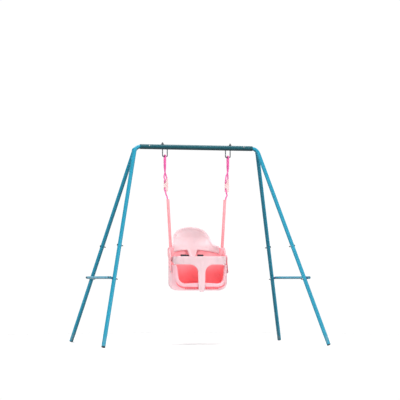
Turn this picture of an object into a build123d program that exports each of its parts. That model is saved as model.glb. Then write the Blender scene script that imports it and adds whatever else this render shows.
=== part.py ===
from build123d import *

import os
from math import atan2, cos, radians, sin, tan

# Toddler swing set: a teal steel-tube frame and a hanging bucket seat with a lift-up T-bar guard.
#
# Millimetres. +X runs along the top beam, +Y to the back of the seat, +Z up.
# The origin is on the floor, in the middle of the four feet.

# ---------------------------------------------------------------- driving dimensions: frame
BEAM_Z = 1205.0  # height of the beam's axis
BEAM_D, BEAM_WALL = 31.0, 1.5
BEAM_HALF = 356.0  # half the beam tube's length
APEX_X = 386.0  # where the two legs' axes meet the beam's axis
FOOT_X, FOOT_Y = 685.0, 499.0  # centre of each foot
LEG_D, LEG_WALL = 24.0, 1.2
LEG_BEND_R = 45.0  # bend from the leg into the beam
STUB_END_X = 272.0  # inner end of the leg's stub in the beam
SWAGE_D = LEG_D - 2 * LEG_WALL - 0.4
SWAGE_LENGTH = 60.0
SEAM_BELOW_BOLT = 17.5
LEG_BOLT_Z = 598.0  # height of the bolt that joins upper and lower leg
BRACE_BOLT_Z = 400.0
BRACE_D, BRACE_WALL = 17.0, 1.2
BRACE_OVERHANG = 15.0
SPACER_GAP = 6.0  # between the leg's surface and the brace's
SLEEVE_LENGTH = 36.0
BEAM_SCREW_X, BEAM_SCREW_TILT = 300.0, 25.0
REAR_LEG_START = 20.0  # from the apex, along the leg

# fasteners
BOLT_R, BOLT_HOLE_R = 3.0, 3.2
BOLT_HEAD_R, BOLT_HEAD_H = 6.0, 4.0
NUT_R, NUT_H = 5.6, 4.0
BOLT_TIP = 6.0  # thread showing past the nut
SCREW_R, SCREW_HEAD_R, SCREW_HEAD_H = 2.0, 4.0, 2.2

# ---------------------------------------------------------------- driving dimensions: hanging parts
HANGER_X = 200.0  # centre of each U hanger
HANGER_HALF = 15.0  # half the distance between its legs
HANGER_Z = 1147.0  # axis of its bottom wire, the swing's pivot
WIRE_R, WIRE_CORNER_R = 3.5, 6.0
HANGER_TOP_Z, HANGER_SHORT_Z = 1234.0, 1196.0
ROPE_D = 8.0
ROPE_HOOK_R = 7.6  # rope's centre line round the wire
ADJUSTER_X, ADJUSTER_Z = 193.5, 970.0
ADJUSTER_W, ADJUSTER_H, ADJUSTER_T = 27.0, 82.0, 8.0
ADJUSTER_SLOT_X, ADJUSTER_SLOT_Z = -7.5, 22.5
ADJUSTER_SLOT_W, ADJUSTER_SLOT_L = 9.4, 21.0
ADJUSTER_BOSS_X, ADJUSTER_BOSS_R = 6.5, 7.0
ADJUSTER_BOSS_Z = (980.0, 1011.0)
ROPE_END_Z = 991.0
GRIP_D, GRIP_BORE = 18.0, 11.0
GRIP_TOP = (181.0, 885.0)  # (X, Z) of the grip tube's top
GRIP_FOOT = (162.5, 570.0)
KNOT_R, KNOT_Z = 8.5, 546.0
KNOT_CUT_Z, ROPE_START_Z = 552.0, 552.6  # the knot is cut flat just below the rope's first point

# ---------------------------------------------------------------- driving dimensions: seat
SEAT_HALF = 175.0  # half the shell's width
SEAT_REAR = 128.0
CORNER_C = (110.0, -62.0)  # centre of the front corner's quarter ellipse
CORNER_R = (65.0, 55.0)
SHELL_Z0, SHELL_WALL, SHELL_BOTTOM_R = 327.0, 3.0, 36.0
SIDE_TOP_Z, REAR_TOP_Z = 481.0, 580.0
LIP_Z, OPEN_HALF, OPEN_CORNER_R = 372.0, 143.0, 30.0
LINER_GAP, LINER_WALL, PAN_Z = 0.6, 3.0, 352.0
RIM_T, RIM_Z0, RIM_Z1 = 4.0, 349.0, 483.0
RIM_REAR_Y = -88.0  # the rim and the skirt end here, ahead of the bracket's arm
SKIRT_Z0, SKIRT_Z1, SKIRT_T, TOOTH_PITCH = 336.0, 348.6, 2.6, 8.0
BACK_TILT, BACK_T = 13.0, 7.0
BACK_ORIGIN = (0.0, -10.0, 540.0)
BACK_RADII = (158.0, 112.0)
GUARD_HALF, GUARD_T = 165.0, 7.0
GUARD_CORNER_C, GUARD_CORNER_R = (100.0, -78.0), (65.0, 52.0)
GUARD_Z0, GUARD_Z1 = 485.0, 535.0
POST_HALF, POST_BOTTOM_Z, FLARE_R = 23.0, 318.0, 50.0
PIVOT_Y, PIVOT_Z, PIVOT_R = -38.0, 520.0, 4.0
PIVOT_CLEAR = 0.06
GUARD_TAB_R = 15.0
BOSS_R, BOSS_X = 27.0, (166.5, 181.0)
WEB_X = (175.6, 179.6)
PIN_HEAD_R, PIN_HEAD_X, PIN_SHAFT_X = 7.0, (153.5, 157.5), (157.5, 176.5)
ARM_END, ARM_END_R = (-74.0, 441.0), 10.0
ARM_REAR, ARM_REAR_R = (-24.0, 470.0), 9.0
SOCKET_Z = (537.0, 590.0)
SOCKET_SIZE = (32.0, 34.0)
SOCKET_X = 162.3

SIDES = (("left", -1), ("right", 1))
ENDS = (("front", -1), ("rear", 1))


def save(builder, name):
    """Label a finished piece and write it as one STEP file."""
    builder.part.label = name
    export_step(builder.part, f"parts/{name}.step")


# ---------------------------------------------------------------- leg geometry
SCREW_OUT = Vector(0, -cos(radians(BEAM_SCREW_TILT)), sin(radians(BEAM_SCREW_TILT)))
LEG_RUN = Vector(FOOT_X - APEX_X, FOOT_Y, 0).length
LEG_TILT = atan2(LEG_RUN, BEAM_Z)
FOOT_Z = LEG_D / 2 * sin(LEG_TILT)  # brings the lowest edge of the foot to the floor


def leg_axis(side, end):
    """Unit vector down one leg, from the apex to the foot."""
    return Vector(side * (FOOT_X - APEX_X), end * FOOT_Y, FOOT_Z - BEAM_Z).normalized()


LEG_LENGTH = Vector(FOOT_X - APEX_X, FOOT_Y, FOOT_Z - BEAM_Z).length
DOWN_RATE = (BEAM_Z - FOOT_Z) / LEG_LENGTH


def leg_point(side, end, along):
    """Point on a leg's axis, at a distance from the apex."""
    return Vector(side * APEX_X, 0, BEAM_Z) + leg_axis(side, end) * along


def along_at(height):
    """Distance from the apex at which a leg's axis has this height."""
    return (BEAM_Z - height) / DOWN_RATE


def outward(side, end):
    """Unit vector square to the leg, out of the frame along X."""
    axis = leg_axis(side, end)
    level = Vector(side, 0, 0)
    return (level - axis * level.dot(axis)).normalized()


SEAM = along_at(LEG_BOLT_Z) + SEAM_BELOW_BOLT
LEG_BOLT = along_at(LEG_BOLT_Z)
BRACE_BOLT = along_at(BRACE_BOLT_Z)
BRACE_OFFSET = LEG_D / 2 + SPACER_GAP + BRACE_D / 2


def brace_point(side, end):
    """Where a brace bolt crosses the brace's axis."""
    return leg_point(side, end, BRACE_BOLT) + outward(side, end) * BRACE_OFFSET


BRACE_X = brace_point(1, 1).X
BRACE_Z = brace_point(1, 1).Z
BRACE_HALF = brace_point(1, 1).Y + BRACE_OVERHANG


def rod(origin, direction, radius, length, mode=Mode.ADD):
    """Add or cut a round bar from a point along a direction."""
    with BuildSketch(Plane(origin=origin, z_dir=direction)) as section:
        Circle(radius)
    extrude(to_extrude=section.sketch, amount=length, mode=mode)


def nut(origin, direction, height=NUT_H, radius=NUT_R, bore=BOLT_R):
    """Add a hexagon nut whose seat is at a point."""
    with BuildSketch(Plane(origin=origin, z_dir=direction)) as section:
        RegularPolygon(radius, 6)
        Circle(bore, mode=Mode.SUBTRACT)
    extrude(to_extrude=section.sketch, amount=height)


def dome_head(origin, direction, radius=BOLT_HEAD_R, height=BOLT_HEAD_H):
    """Add a low domed head whose seat is at a point."""
    with BuildPart() as head:
        Cylinder(radius, height, align=(Align.CENTER, Align.CENTER, Align.MIN))
        fillet(head.faces().sort_by(Axis.Z)[-1].edges(), radius=height * 0.8)
    add(head.part.moved(Plane(origin=origin, z_dir=direction).location))


os.makedirs("parts", exist_ok=True)

# ---------------------------------------------------------------- beam
with BuildPart() as top_beam:
    with BuildSketch(Plane.YZ.offset(-BEAM_HALF)):
        with Locations((0, BEAM_Z)):
            Circle(BEAM_D / 2)
            Circle(BEAM_D / 2 - BEAM_WALL, mode=Mode.SUBTRACT)
    extrude(amount=2 * BEAM_HALF)
    for _, side in SIDES:
        through = Vector(side * (HANGER_X + HANGER_HALF), 0, BEAM_Z - BEAM_D)
        rod(through, Vector(0, 0, 1), WIRE_R + 0.2, 2 * BEAM_D, mode=Mode.SUBTRACT)
        blind = Vector(side * (HANGER_X - HANGER_HALF), 0, BEAM_Z - BEAM_D)
        rod(blind, Vector(0, 0, 1), WIRE_R + 0.2, BEAM_D, mode=Mode.SUBTRACT)
        rod(Vector(side * BEAM_SCREW_X, 0, BEAM_Z), SCREW_OUT, SCREW_R + 0.1, BEAM_D, mode=Mode.SUBTRACT)
save(top_beam, "top_beam")

with BuildPart() as beam_screws:
    for _, side in SIDES:
        seat = Vector(side * BEAM_SCREW_X, 0, BEAM_Z) + SCREW_OUT * (BEAM_D / 2 + 0.05)
        dome_head(seat, SCREW_OUT, SCREW_HEAD_R, SCREW_HEAD_H)
        rod(seat, SCREW_OUT * -1, SCREW_R, BEAM_D / 2 - LEG_D / 2 + 4)
save(beam_screws, "beam_screws")


def front_leg_path(side):
    """Corner points of the front upper leg: stub in the beam, apex, seam."""
    return [Vector(side * STUB_END_X, 0, BEAM_Z), leg_point(side, -1, 0), leg_point(side, -1, SEAM)]


for label, side in SIDES:
    with BuildPart() as beam_sleeve:
        with BuildSketch(Plane.YZ.offset(side * BEAM_HALF)):
            with Locations((0, BEAM_Z)):
                Circle(BEAM_D / 2 - BEAM_WALL - 0.05)
                Circle(LEG_D / 2 + 0.1, mode=Mode.SUBTRACT)
        extrude(amount=-side * SLEEVE_LENGTH)
    # the leg's bend starts just inside the sleeve, so the sleeve is cut to its shape
    with BuildPart() as leg_core:
        with BuildLine() as core_path:
            FilletPolyline(*front_leg_path(side), radius=LEG_BEND_R)
        with BuildSketch(Plane(origin=core_path.line @ 0, z_dir=core_path.line % 0)):
            Circle(LEG_D / 2)
        sweep()
    with BuildPart() as sleeve_cut:
        add(beam_sleeve.part)
        add(leg_core.part, mode=Mode.SUBTRACT)
    save(sleeve_cut, f"beam_sleeve_{label}")

    with BuildPart() as front_upper_leg:
        with BuildLine() as leg_path:
            FilletPolyline(*front_leg_path(side), radius=LEG_BEND_R)
        with BuildSketch(Plane(origin=leg_path.line @ 0, z_dir=leg_path.line % 0)):
            Circle(LEG_D / 2)
            Circle(LEG_D / 2 - LEG_WALL, mode=Mode.SUBTRACT)
        sweep()
        bolt_dir = outward(side, -1)
        rod(leg_point(side, -1, LEG_BOLT) - bolt_dir * LEG_D, bolt_dir, BOLT_HOLE_R, 2 * LEG_D, Mode.SUBTRACT)
        rod(Vector(side * BEAM_SCREW_X, 0, BEAM_Z), SCREW_OUT, SCREW_R + 0.1, LEG_D, mode=Mode.SUBTRACT)
    save(front_upper_leg, f"front_upper_leg_{label}")

    with BuildPart() as rear_upper_leg:
        axis = leg_axis(side, 1)
        top = leg_point(side, 1, REAR_LEG_START)
        rod(top, axis, LEG_D / 2, SEAM - REAR_LEG_START)
        with Locations(top):
            Sphere(LEG_D / 2)
        rod(top, axis, LEG_D / 2 - LEG_WALL, SEAM - REAR_LEG_START + 1, mode=Mode.SUBTRACT)
        add(leg_core.part, mode=Mode.SUBTRACT)
        bolt_dir = outward(side, 1)
        rod(leg_point(side, 1, LEG_BOLT) - bolt_dir * LEG_D, bolt_dir, BOLT_HOLE_R, 2 * LEG_D, Mode.SUBTRACT)
    save(rear_upper_leg, f"rear_upper_leg_{label}")

# ---------------------------------------------------------------- lower legs and feet
PLUG_FLANGE, PLUG_DEPTH = 2.0, 22.0
for label, side in SIDES:
    for end_label, end in ENDS:
        axis = leg_axis(side, end)
        bolt_dir = outward(side, end)
        with BuildPart() as lower_leg:
            seam = leg_point(side, end, SEAM)
            tube_length = LEG_LENGTH - PLUG_FLANGE - SEAM
            rod(seam, axis, LEG_D / 2, tube_length)
            rod(seam, axis * -1, SWAGE_D / 2, SWAGE_LENGTH)
            rod(seam - axis * SWAGE_LENGTH, axis, SWAGE_D / 2 - LEG_WALL, SWAGE_LENGTH, mode=Mode.SUBTRACT)
            with BuildSketch(Plane(origin=seam, z_dir=axis)):
                Circle(SWAGE_D / 2 - LEG_WALL)
            with BuildSketch(Plane(origin=seam + axis * 6, z_dir=axis)):
                Circle(LEG_D / 2 - LEG_WALL)
            loft(mode=Mode.SUBTRACT)
            rod(seam + axis * 6, axis, LEG_D / 2 - LEG_WALL, tube_length, mode=Mode.SUBTRACT)
            for place in (LEG_BOLT, BRACE_BOLT):
                centre = leg_point(side, end, place)
                rod(centre - bolt_dir * LEG_D, bolt_dir, BOLT_HOLE_R, 2 * LEG_D, mode=Mode.SUBTRACT)
        save(lower_leg, f"{end_label}_lower_leg_{label}")

        with BuildPart() as foot_plug:
            rod(leg_point(side, end, LEG_LENGTH - PLUG_FLANGE), axis, LEG_D / 2, PLUG_FLANGE)
            stem = leg_point(side, end, LEG_LENGTH - PLUG_FLANGE - PLUG_DEPTH)
            rod(stem, axis, LEG_D / 2 - LEG_WALL - 0.1, PLUG_DEPTH)
            rod(stem, axis, LEG_D / 2 - LEG_WALL - 2.5, PLUG_DEPTH - 2, mode=Mode.SUBTRACT)
        save(foot_plug, f"foot_plug_{end_label}_{label}")

with BuildPart() as leg_bolts:
    for _, side in SIDES:
        for _, end in ENDS:
            out = outward(side, end)
            head = leg_point(side, end, LEG_BOLT) + out * (LEG_D / 2 + 0.05)
            dome_head(head, out)
            rod(head, out * -1, BOLT_R, LEG_D + NUT_H + BOLT_TIP)
save(leg_bolts, "leg_bolts")

with BuildPart() as leg_nuts:
    for _, side in SIDES:
        for _, end in ENDS:
            out = outward(side, end)
            nut(leg_point(side, end, LEG_BOLT) - out * (LEG_D / 2 + 0.05), out * -1)
save(leg_nuts, "leg_nuts")

# ---------------------------------------------------------------- braces
for label, side in SIDES:
    with BuildPart() as brace:
        start = Vector(side * BRACE_X, -BRACE_HALF, BRACE_Z)
        rod(start, Vector(0, 1, 0), BRACE_D / 2, 2 * BRACE_HALF)
        rod(start, Vector(0, 1, 0), BRACE_D / 2 - BRACE_WALL, 2 * BRACE_HALF, mode=Mode.SUBTRACT)
        for _, end in ENDS:
            out = outward(side, end)
            rod(brace_point(side, end) - out * BRACE_D, out, BOLT_HOLE_R, 2 * BRACE_D, mode=Mode.SUBTRACT)
    save(brace, f"side_brace_{label}")

CAP_T, CAP_DEPTH = 2.0, 9.0
with BuildPart() as brace_end_caps:
    for _, side in SIDES:
        for _, end in ENDS:
            mouth = Vector(side * BRACE_X, end * BRACE_HALF, BRACE_Z)
            rod(mouth, Vector(0, end, 0), BRACE_D / 2, CAP_T)
            rod(mouth - Vector(0, end * (CAP_DEPTH - CAP_T), 0), Vector(0, end, 0),
                BRACE_D / 2 - BRACE_WALL - 0.1, CAP_DEPTH - CAP_T)
save(brace_end_caps, "brace_end_caps")

SPACER_R = 7.0
with BuildPart() as brace_spacers:
    for _, side in SIDES:
        for _, end in ENDS:
            out = outward(side, end)
            centre = leg_point(side, end, BRACE_BOLT)
            rod(centre + out * (LEG_D / 2 - 4), out, SPACER_R, SPACER_GAP + 8)
            rod(centre, out, BOLT_HOLE_R, 2 * LEG_D, mode=Mode.SUBTRACT)
            rod(centre - leg_axis(side, end) * 40, leg_axis(side, end), LEG_D / 2 + 0.05, 80, mode=Mode.SUBTRACT)
        start = Vector(side * BRACE_X, -BRACE_HALF, BRACE_Z)
        rod(start, Vector(0, 1, 0), BRACE_D / 2 + 0.05, 2 * BRACE_HALF, mode=Mode.SUBTRACT)
save(brace_spacers, "brace_spacers")

BRACE_HEAD_LIFT = 0.6  # the bolt is square to the leg, so its head sits slightly tilted on the brace
with BuildPart() as brace_bolts:
    for _, side in SIDES:
        for _, end in ENDS:
            out = outward(side, end)
            head = brace_point(side, end) + out * (BRACE_D / 2 + BRACE_HEAD_LIFT)
            dome_head(head, out)
            rod(head, out * -1, BOLT_R, BRACE_D + SPACER_GAP + LEG_D + NUT_H + BOLT_TIP)
save(brace_bolts, "brace_bolts")

with BuildPart() as brace_nuts:
    for _, side in SIDES:
        for _, end in ENDS:
            out = outward(side, end)
            nut(leg_point(side, end, BRACE_BOLT) - out * (LEG_D / 2 + 0.05), out * -1)
save(brace_nuts, "brace_nuts")

# ---------------------------------------------------------------- hangers
WASHER_R, WASHER_H = 8.0, 3.0
for label, side in SIDES:
    with BuildPart() as hanger:
        outer_x, inner_x = side * (HANGER_X + HANGER_HALF), side * (HANGER_X - HANGER_HALF)
        with BuildLine() as wire:
            FilletPolyline(
                (outer_x, 0, HANGER_TOP_Z), (outer_x, 0, HANGER_Z), (inner_x, 0, HANGER_Z),
                (inner_x, 0, HANGER_SHORT_Z), radius=WIRE_CORNER_R,
            )
        with BuildSketch(Plane(origin=wire.line @ 0, z_dir=wire.line % 0)):
            Circle(WIRE_R)
        sweep()
    save(hanger, f"hanger_{label}")

BEAM_TOP_Z = BEAM_Z + BEAM_D / 2
with BuildPart() as hanger_washers:
    for _, side in SIDES:
        rod(Vector(side * (HANGER_X + HANGER_HALF), 0, BEAM_TOP_Z - 3), Vector(0, 0, 1), WASHER_R, WASHER_H + 1.5)
        rod(Vector(side * (HANGER_X + HANGER_HALF), 0, BEAM_TOP_Z - 5), Vector(0, 0, 1), WIRE_R + 0.2, 10,
            mode=Mode.SUBTRACT)
    rod(Vector(-BEAM_HALF, 0, BEAM_Z), Vector(1, 0, 0), BEAM_D / 2 + 0.05, 2 * BEAM_HALF, mode=Mode.SUBTRACT)
save(hanger_washers, "hanger_washers")

with BuildPart() as hanger_nuts:
    for _, side in SIDES:
        seat = Vector(side * (HANGER_X + HANGER_HALF), 0, BEAM_TOP_Z + WASHER_H - 1.5)
        nut(seat, Vector(0, 0, 1), height=6.0, radius=7.2, bore=WIRE_R)
save(hanger_nuts, "hanger_nuts")


# ---------------------------------------------------------------- ropes
def grip_x(height):
    """X of a grip tube's axis at a height, on the right-hand side."""
    slope = (GRIP_TOP[0] - GRIP_FOOT[0]) / (GRIP_TOP[1] - GRIP_FOOT[1])
    return GRIP_FOOT[0] + slope * (height - GRIP_FOOT[1])


def rope_route(side):
    """Points of one rope, from the knot in the seat's socket to its end in the adjuster."""
    plate, hook, cross, loop = side * ADJUSTER_X, side * HANGER_X, side * 199.3, side * 196.5
    return [
        (side * grip_x(ROPE_START_Z), 0, ROPE_START_Z),
        (side * grip_x(893), 0, 893),
        (plate + 2.0, -3.0, 909),
        (plate - 4.5, -8.0, 926),
        (plate - 7.5, -8.4, 941.5),
        (plate - 7.5, 8.4, 953.5),
        (plate - 7.5, 8.4, 986.5),
        (plate - 7.5, -8.4, 998.5),
        (plate - 9.5, -8.6, 1008),
        (loop - 11.5, -7.0, 1021),
        (loop - 6.5, -6.0, 1038),
        (cross, -4.6, 1056),
        (hook + 2.6, -6.0, 1085),
        (hook + 2.2, -7.6, 1118),
        (hook + 2.2, -8.4, 1144),
        (hook + 2.2, -8.6, 1154.8),
        (hook - 2.2, 8.6, 1154.8),
        (hook - 2.2, 8.4, 1144),
        (hook - 2.2, 7.6, 1118),
        (hook - 2.6, 6.0, 1085),
        (cross, 4.6, 1056),
        (loop + 5.8, 3, 1026),
        (plate + ADJUSTER_BOSS_X, 0, 1010),
        (plate + ADJUSTER_BOSS_X, 0, ROPE_END_Z),
    ]


def corner_radii(points, hook_corners, hook_radius):
    """Radius of each inner corner: 0.45 of the shorter run, less beside the hook's own bends."""
    spots = [Vector(*p) for p in points]
    runs = [(b - a).length for a, b in zip(spots, spots[1:])]
    turns = [radians((b - a).get_angle(c - b)) for a, b, c in zip(spots, spots[1:], spots[2:])]
    taken = [hook_radius * tan(t / 2) if i + 1 in hook_corners else 0 for i, t in enumerate(turns)]
    radii = []
    for i, turn in enumerate(turns):
        if taken[i]:
            radii.append(hook_radius)
            continue
        before = runs[i] - (taken[i - 1] if i else 0)
        after = runs[i + 1] - (taken[i + 1] if i + 1 < len(turns) else 0)
        radii.append(0.45 * min(before, after) / tan(turn / 2))
    return radii


for label, side in SIDES:
    route = rope_route(side)
    radii = corner_radii(route, hook_corners=(15, 16), hook_radius=ROPE_HOOK_R)
    print(f"rope_{label} bend radii:", *(round(r, 1) for r in radii))
    with BuildPart() as rope:
        with BuildLine() as rope_path:
            FilletPolyline(*route, radius=radii)
        with BuildSketch(Plane(origin=rope_path.line @ 0, z_dir=rope_path.line % 0)):
            Circle(ROPE_D / 2)
        sweep()
    save(rope, f"rope_{label}")

    with BuildPart() as rope_knot:
        with Locations((side * grip_x(KNOT_Z), 0, KNOT_Z)):
            Sphere(KNOT_R)
        with BuildSketch(Plane.XY.offset(KNOT_CUT_Z)):
            with Locations((side * grip_x(KNOT_Z), 0)):
                Rectangle(40, 40)
        extrude(amount=20, mode=Mode.SUBTRACT)
    save(rope_knot, f"rope_knot_{label}")

    plate_x = side * ADJUSTER_X
    with BuildPart() as adjuster:
        with BuildSketch(Plane(origin=(plate_x, -ADJUSTER_T / 2, ADJUSTER_Z), x_dir=(1, 0, 0), z_dir=(0, 1, 0))):
            SlotOverall(ADJUSTER_H, ADJUSTER_W, rotation=90)
        extrude(amount=ADJUSTER_T)
        fillet(adjuster.edges().filter_by(Plane.XZ).group_by(Axis.Y)[0], radius=1.5)
        fillet(adjuster.edges().filter_by(Plane.XZ).group_by(Axis.Y)[-1], radius=1.5)
        boss_low, boss_top = ADJUSTER_BOSS_Z
        rod(Vector(plate_x + ADJUSTER_BOSS_X, 0, boss_low), Vector(0, 0, 1), ADJUSTER_BOSS_R, boss_top - boss_low)
        bore_floor = Vector(plate_x + ADJUSTER_BOSS_X, 0, ROPE_END_Z - 0.3)
        rod(bore_floor, Vector(0, 0, 1), ROPE_D / 2 + 0.9, 40, mode=Mode.SUBTRACT)
        with BuildSketch(Plane(origin=(plate_x, -20, ADJUSTER_Z), x_dir=(1, 0, 0), z_dir=(0, 1, 0))):
            with Locations((ADJUSTER_SLOT_X, ADJUSTER_SLOT_Z), (ADJUSTER_SLOT_X, -ADJUSTER_SLOT_Z)):
                SlotOverall(ADJUSTER_SLOT_L, ADJUSTER_SLOT_W, rotation=90)
        extrude(amount=40, mode=Mode.SUBTRACT)
    save(adjuster, f"rope_adjuster_{label}")

    grip_low = Vector(side * GRIP_FOOT[0], 0, GRIP_FOOT[1])
    grip_high = Vector(side * GRIP_TOP[0], 0, GRIP_TOP[1])
    grip_dir = (grip_high - grip_low).normalized()
    with BuildPart() as grip_tube:
        rod(grip_low, grip_dir, GRIP_D / 2, (grip_high - grip_low).length)
        fillet(grip_tube.edges().group_by(Axis.Z)[-1], radius=2)
        rod(grip_low - grip_dir * 5, grip_dir, GRIP_BORE / 2, 400, mode=Mode.SUBTRACT)
    save(grip_tube, f"grip_tube_{label}")


# ---------------------------------------------------------------- seat outlines
def seat_plan(grow):
    """Draw the shell's plan outline, grown outwards by a distance."""
    cx, cy = CORNER_C
    rx, ry = CORNER_R[0] + grow, CORNER_R[1] + grow
    with BuildLine() as outline:
        EllipticalCenterArc((0, 0), SEAT_HALF + grow, SEAT_REAR + grow, 0, arc_size=180)
        Line((-SEAT_HALF - grow, 0), (-SEAT_HALF - grow, cy))
        EllipticalCenterArc((-cx, cy), rx, ry, 180, arc_size=90)
        Line((-cx, cy - ry), (cx, cy - ry))
        EllipticalCenterArc((cx, cy), rx, ry, 270, arc_size=90)
        Line((SEAT_HALF + grow, cy), (SEAT_HALF + grow, 0))
    make_face(outline.edges())


def seat_block(grow, low, high, bottom_radius=0):
    """A solid of the seat's plan, with a rounded bottom edge."""
    with BuildPart() as block:
        with BuildSketch(Plane.XY.offset(low)):
            seat_plan(grow)
        extrude(amount=high - low)
        if bottom_radius:
            fillet(block.faces().sort_by(Axis.Z)[0].edges(), radius=bottom_radius)
    return block.part


def cut_above_sides(drop=0.0):
    """Cut the top edge: low at the sides, rising in a curve to the back."""
    side_z, rear_z = SIDE_TOP_Z - drop, REAR_TOP_Z - drop
    with BuildSketch(Plane.YZ.offset(-250)) as waste:
        with BuildLine():
            Line((-200, side_z), (10, side_z))
            Spline((10, side_z), (72, rear_z), tangents=((1, 0), (1, 0.25)))
            Polyline((72, rear_z), (200, rear_z), (200, 800), (-200, 800), (-200, side_z))
        make_face()
    extrude(to_extrude=waste.sketch, amount=500, mode=Mode.SUBTRACT)


def cut_leg_opening(lip_z, half=OPEN_HALF, rear=-50.0):
    """Cut the front opening above the lip, through which the legs go."""
    with BuildSketch(Plane.XZ.offset(-rear)) as opening:
        with Locations((0, lip_z + 150)):
            RectangleRounded(2 * half, 300, OPEN_CORNER_R)
    extrude(to_extrude=opening.sketch, amount=150, mode=Mode.SUBTRACT)


SCREW_PLACES = (ARM_END, ARM_REAR)
SEAT_SCREW_R, SEAT_SCREW_L = 2.5, 10.0


def cut_screw_holes():
    """Cut the holes of the bracket screws through both side walls."""
    for _, side in SIDES:
        for y, z in SCREW_PLACES:
            rod(Vector(side * 160, y, z), Vector(side, 0, 0), SEAT_SCREW_R + 0.2, 40, mode=Mode.SUBTRACT)


with BuildPart() as seat_shell:
    add(seat_block(0, SHELL_Z0, REAR_TOP_Z + 10, SHELL_BOTTOM_R))
    add(seat_block(-SHELL_WALL, SHELL_Z0 + SHELL_WALL, REAR_TOP_Z + 20, SHELL_BOTTOM_R - SHELL_WALL),
        mode=Mode.SUBTRACT)
    cut_above_sides()
    cut_leg_opening(LIP_Z - 1)
    cut_screw_holes()
save(seat_shell, "seat_shell")

SLOT_X, SLOT_Z, SLOT_SIZE = 56.0, 543.0, (40.0, 11.0)
with BuildPart() as seat_liner:
    liner_out, liner_in = -SHELL_WALL - LINER_GAP, -SHELL_WALL - LINER_GAP - LINER_WALL
    add(seat_block(liner_out, PAN_Z - LINER_WALL, REAR_TOP_Z + 10, 26))
    add(seat_block(liner_in, PAN_Z, REAR_TOP_Z + 20, 23), mode=Mode.SUBTRACT)
    cut_above_sides(drop=2.0)
    cut_leg_opening(LIP_Z - 2)
    cut_screw_holes()
    with BuildSketch(Plane.XZ.offset(-60)):
        with Locations((-SLOT_X, SLOT_Z), (SLOT_X, SLOT_Z)):
            RectangleRounded(*SLOT_SIZE, 3)
    extrude(amount=-80, mode=Mode.SUBTRACT)
save(seat_liner, "seat_liner")

with BuildPart() as front_rim:
    add(seat_block(RIM_T, RIM_Z0, RIM_Z1))
    add(seat_block(0.3, RIM_Z0 - 5, RIM_Z1 + 5), mode=Mode.SUBTRACT)
    with Locations((0, RIM_REAR_Y + 150, 400)):
        Box(500, 300, 300, mode=Mode.SUBTRACT)
    cut_leg_opening(LIP_Z, half=OPEN_HALF - 2)
save(front_rim, "front_rim")

with BuildPart() as liner_skirt:
    add(seat_block(0.3 + SKIRT_T, SKIRT_Z0, SKIRT_Z1))
    add(seat_block(0.3, SKIRT_Z0 - 5, SKIRT_Z1 + 5), mode=Mode.SUBTRACT)
    with Locations((0, RIM_REAR_Y + 150, 340)):
        Box(500, 300, 100, mode=Mode.SUBTRACT)
    teeth = int(2 * CORNER_C[0] / TOOTH_PITCH)
    with BuildSketch(Plane.XZ.offset(100)):
        with Locations(*[((i - teeth / 2) * TOOTH_PITCH, SKIRT_Z0) for i in range(teeth + 1)]):
            Circle(TOOTH_PITCH * 0.32)
    extrude(amount=40, mode=Mode.SUBTRACT)
save(liner_skirt, "liner_skirt")


# ---------------------------------------------------------------- backrest
with BuildPart() as backrest:
    lean = radians(BACK_TILT)
    with BuildSketch(Plane(origin=BACK_ORIGIN, x_dir=(1, 0, 0), z_dir=(0, sin(lean), cos(lean)))):
        Ellipse(*BACK_RADII)
        Ellipse(BACK_RADII[0] - BACK_T, BACK_RADII[1] - BACK_T, mode=Mode.SUBTRACT)
    extrude(amount=300, both=True)
    with BuildSketch(Plane.XZ):
        with BuildLine():
            for flip in (1, -1):
                Spline((0, 722), (77 * flip, 703), (114 * flip, 655), (131 * flip, 611), (151 * flip, 600),
                       tangents=((flip, 0), (flip, -0.12)))
                Polyline((151 * flip, 600), (151 * flip, 550), (122 * flip, 564), (33 * flip, 577),
                         (17 * flip, 532))
            ThreePointArc((17, 532), (0, 519), (-17, 532))
        make_face()
    extrude(amount=-220, mode=Mode.INTERSECT)
    with Locations((0, -100 + 19, 600)):
        Box(500, 200, 400, mode=Mode.SUBTRACT)
save(backrest, "backrest")


# ---------------------------------------------------------------- T-bar guard
def guard_plan(shrink):
    """Draw the guard's plan outline, open at the back, shrunk inwards."""
    cx, cy = GUARD_CORNER_C
    rx, ry = GUARD_CORNER_R[0] - shrink, GUARD_CORNER_R[1] - shrink
    edge = GUARD_HALF - shrink
    with BuildLine() as outline:
        Line((edge, cy), (edge, 0))
        Line((edge, 0), (-edge, 0))
        Line((-edge, 0), (-edge, cy))
        EllipticalCenterArc((-cx, cy), rx, ry, 180, arc_size=90)
        Line((-cx, cy - ry), (cx, cy - ry))
        EllipticalCenterArc((cx, cy), rx, ry, 270, arc_size=90)
    make_face(outline.edges())


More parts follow.
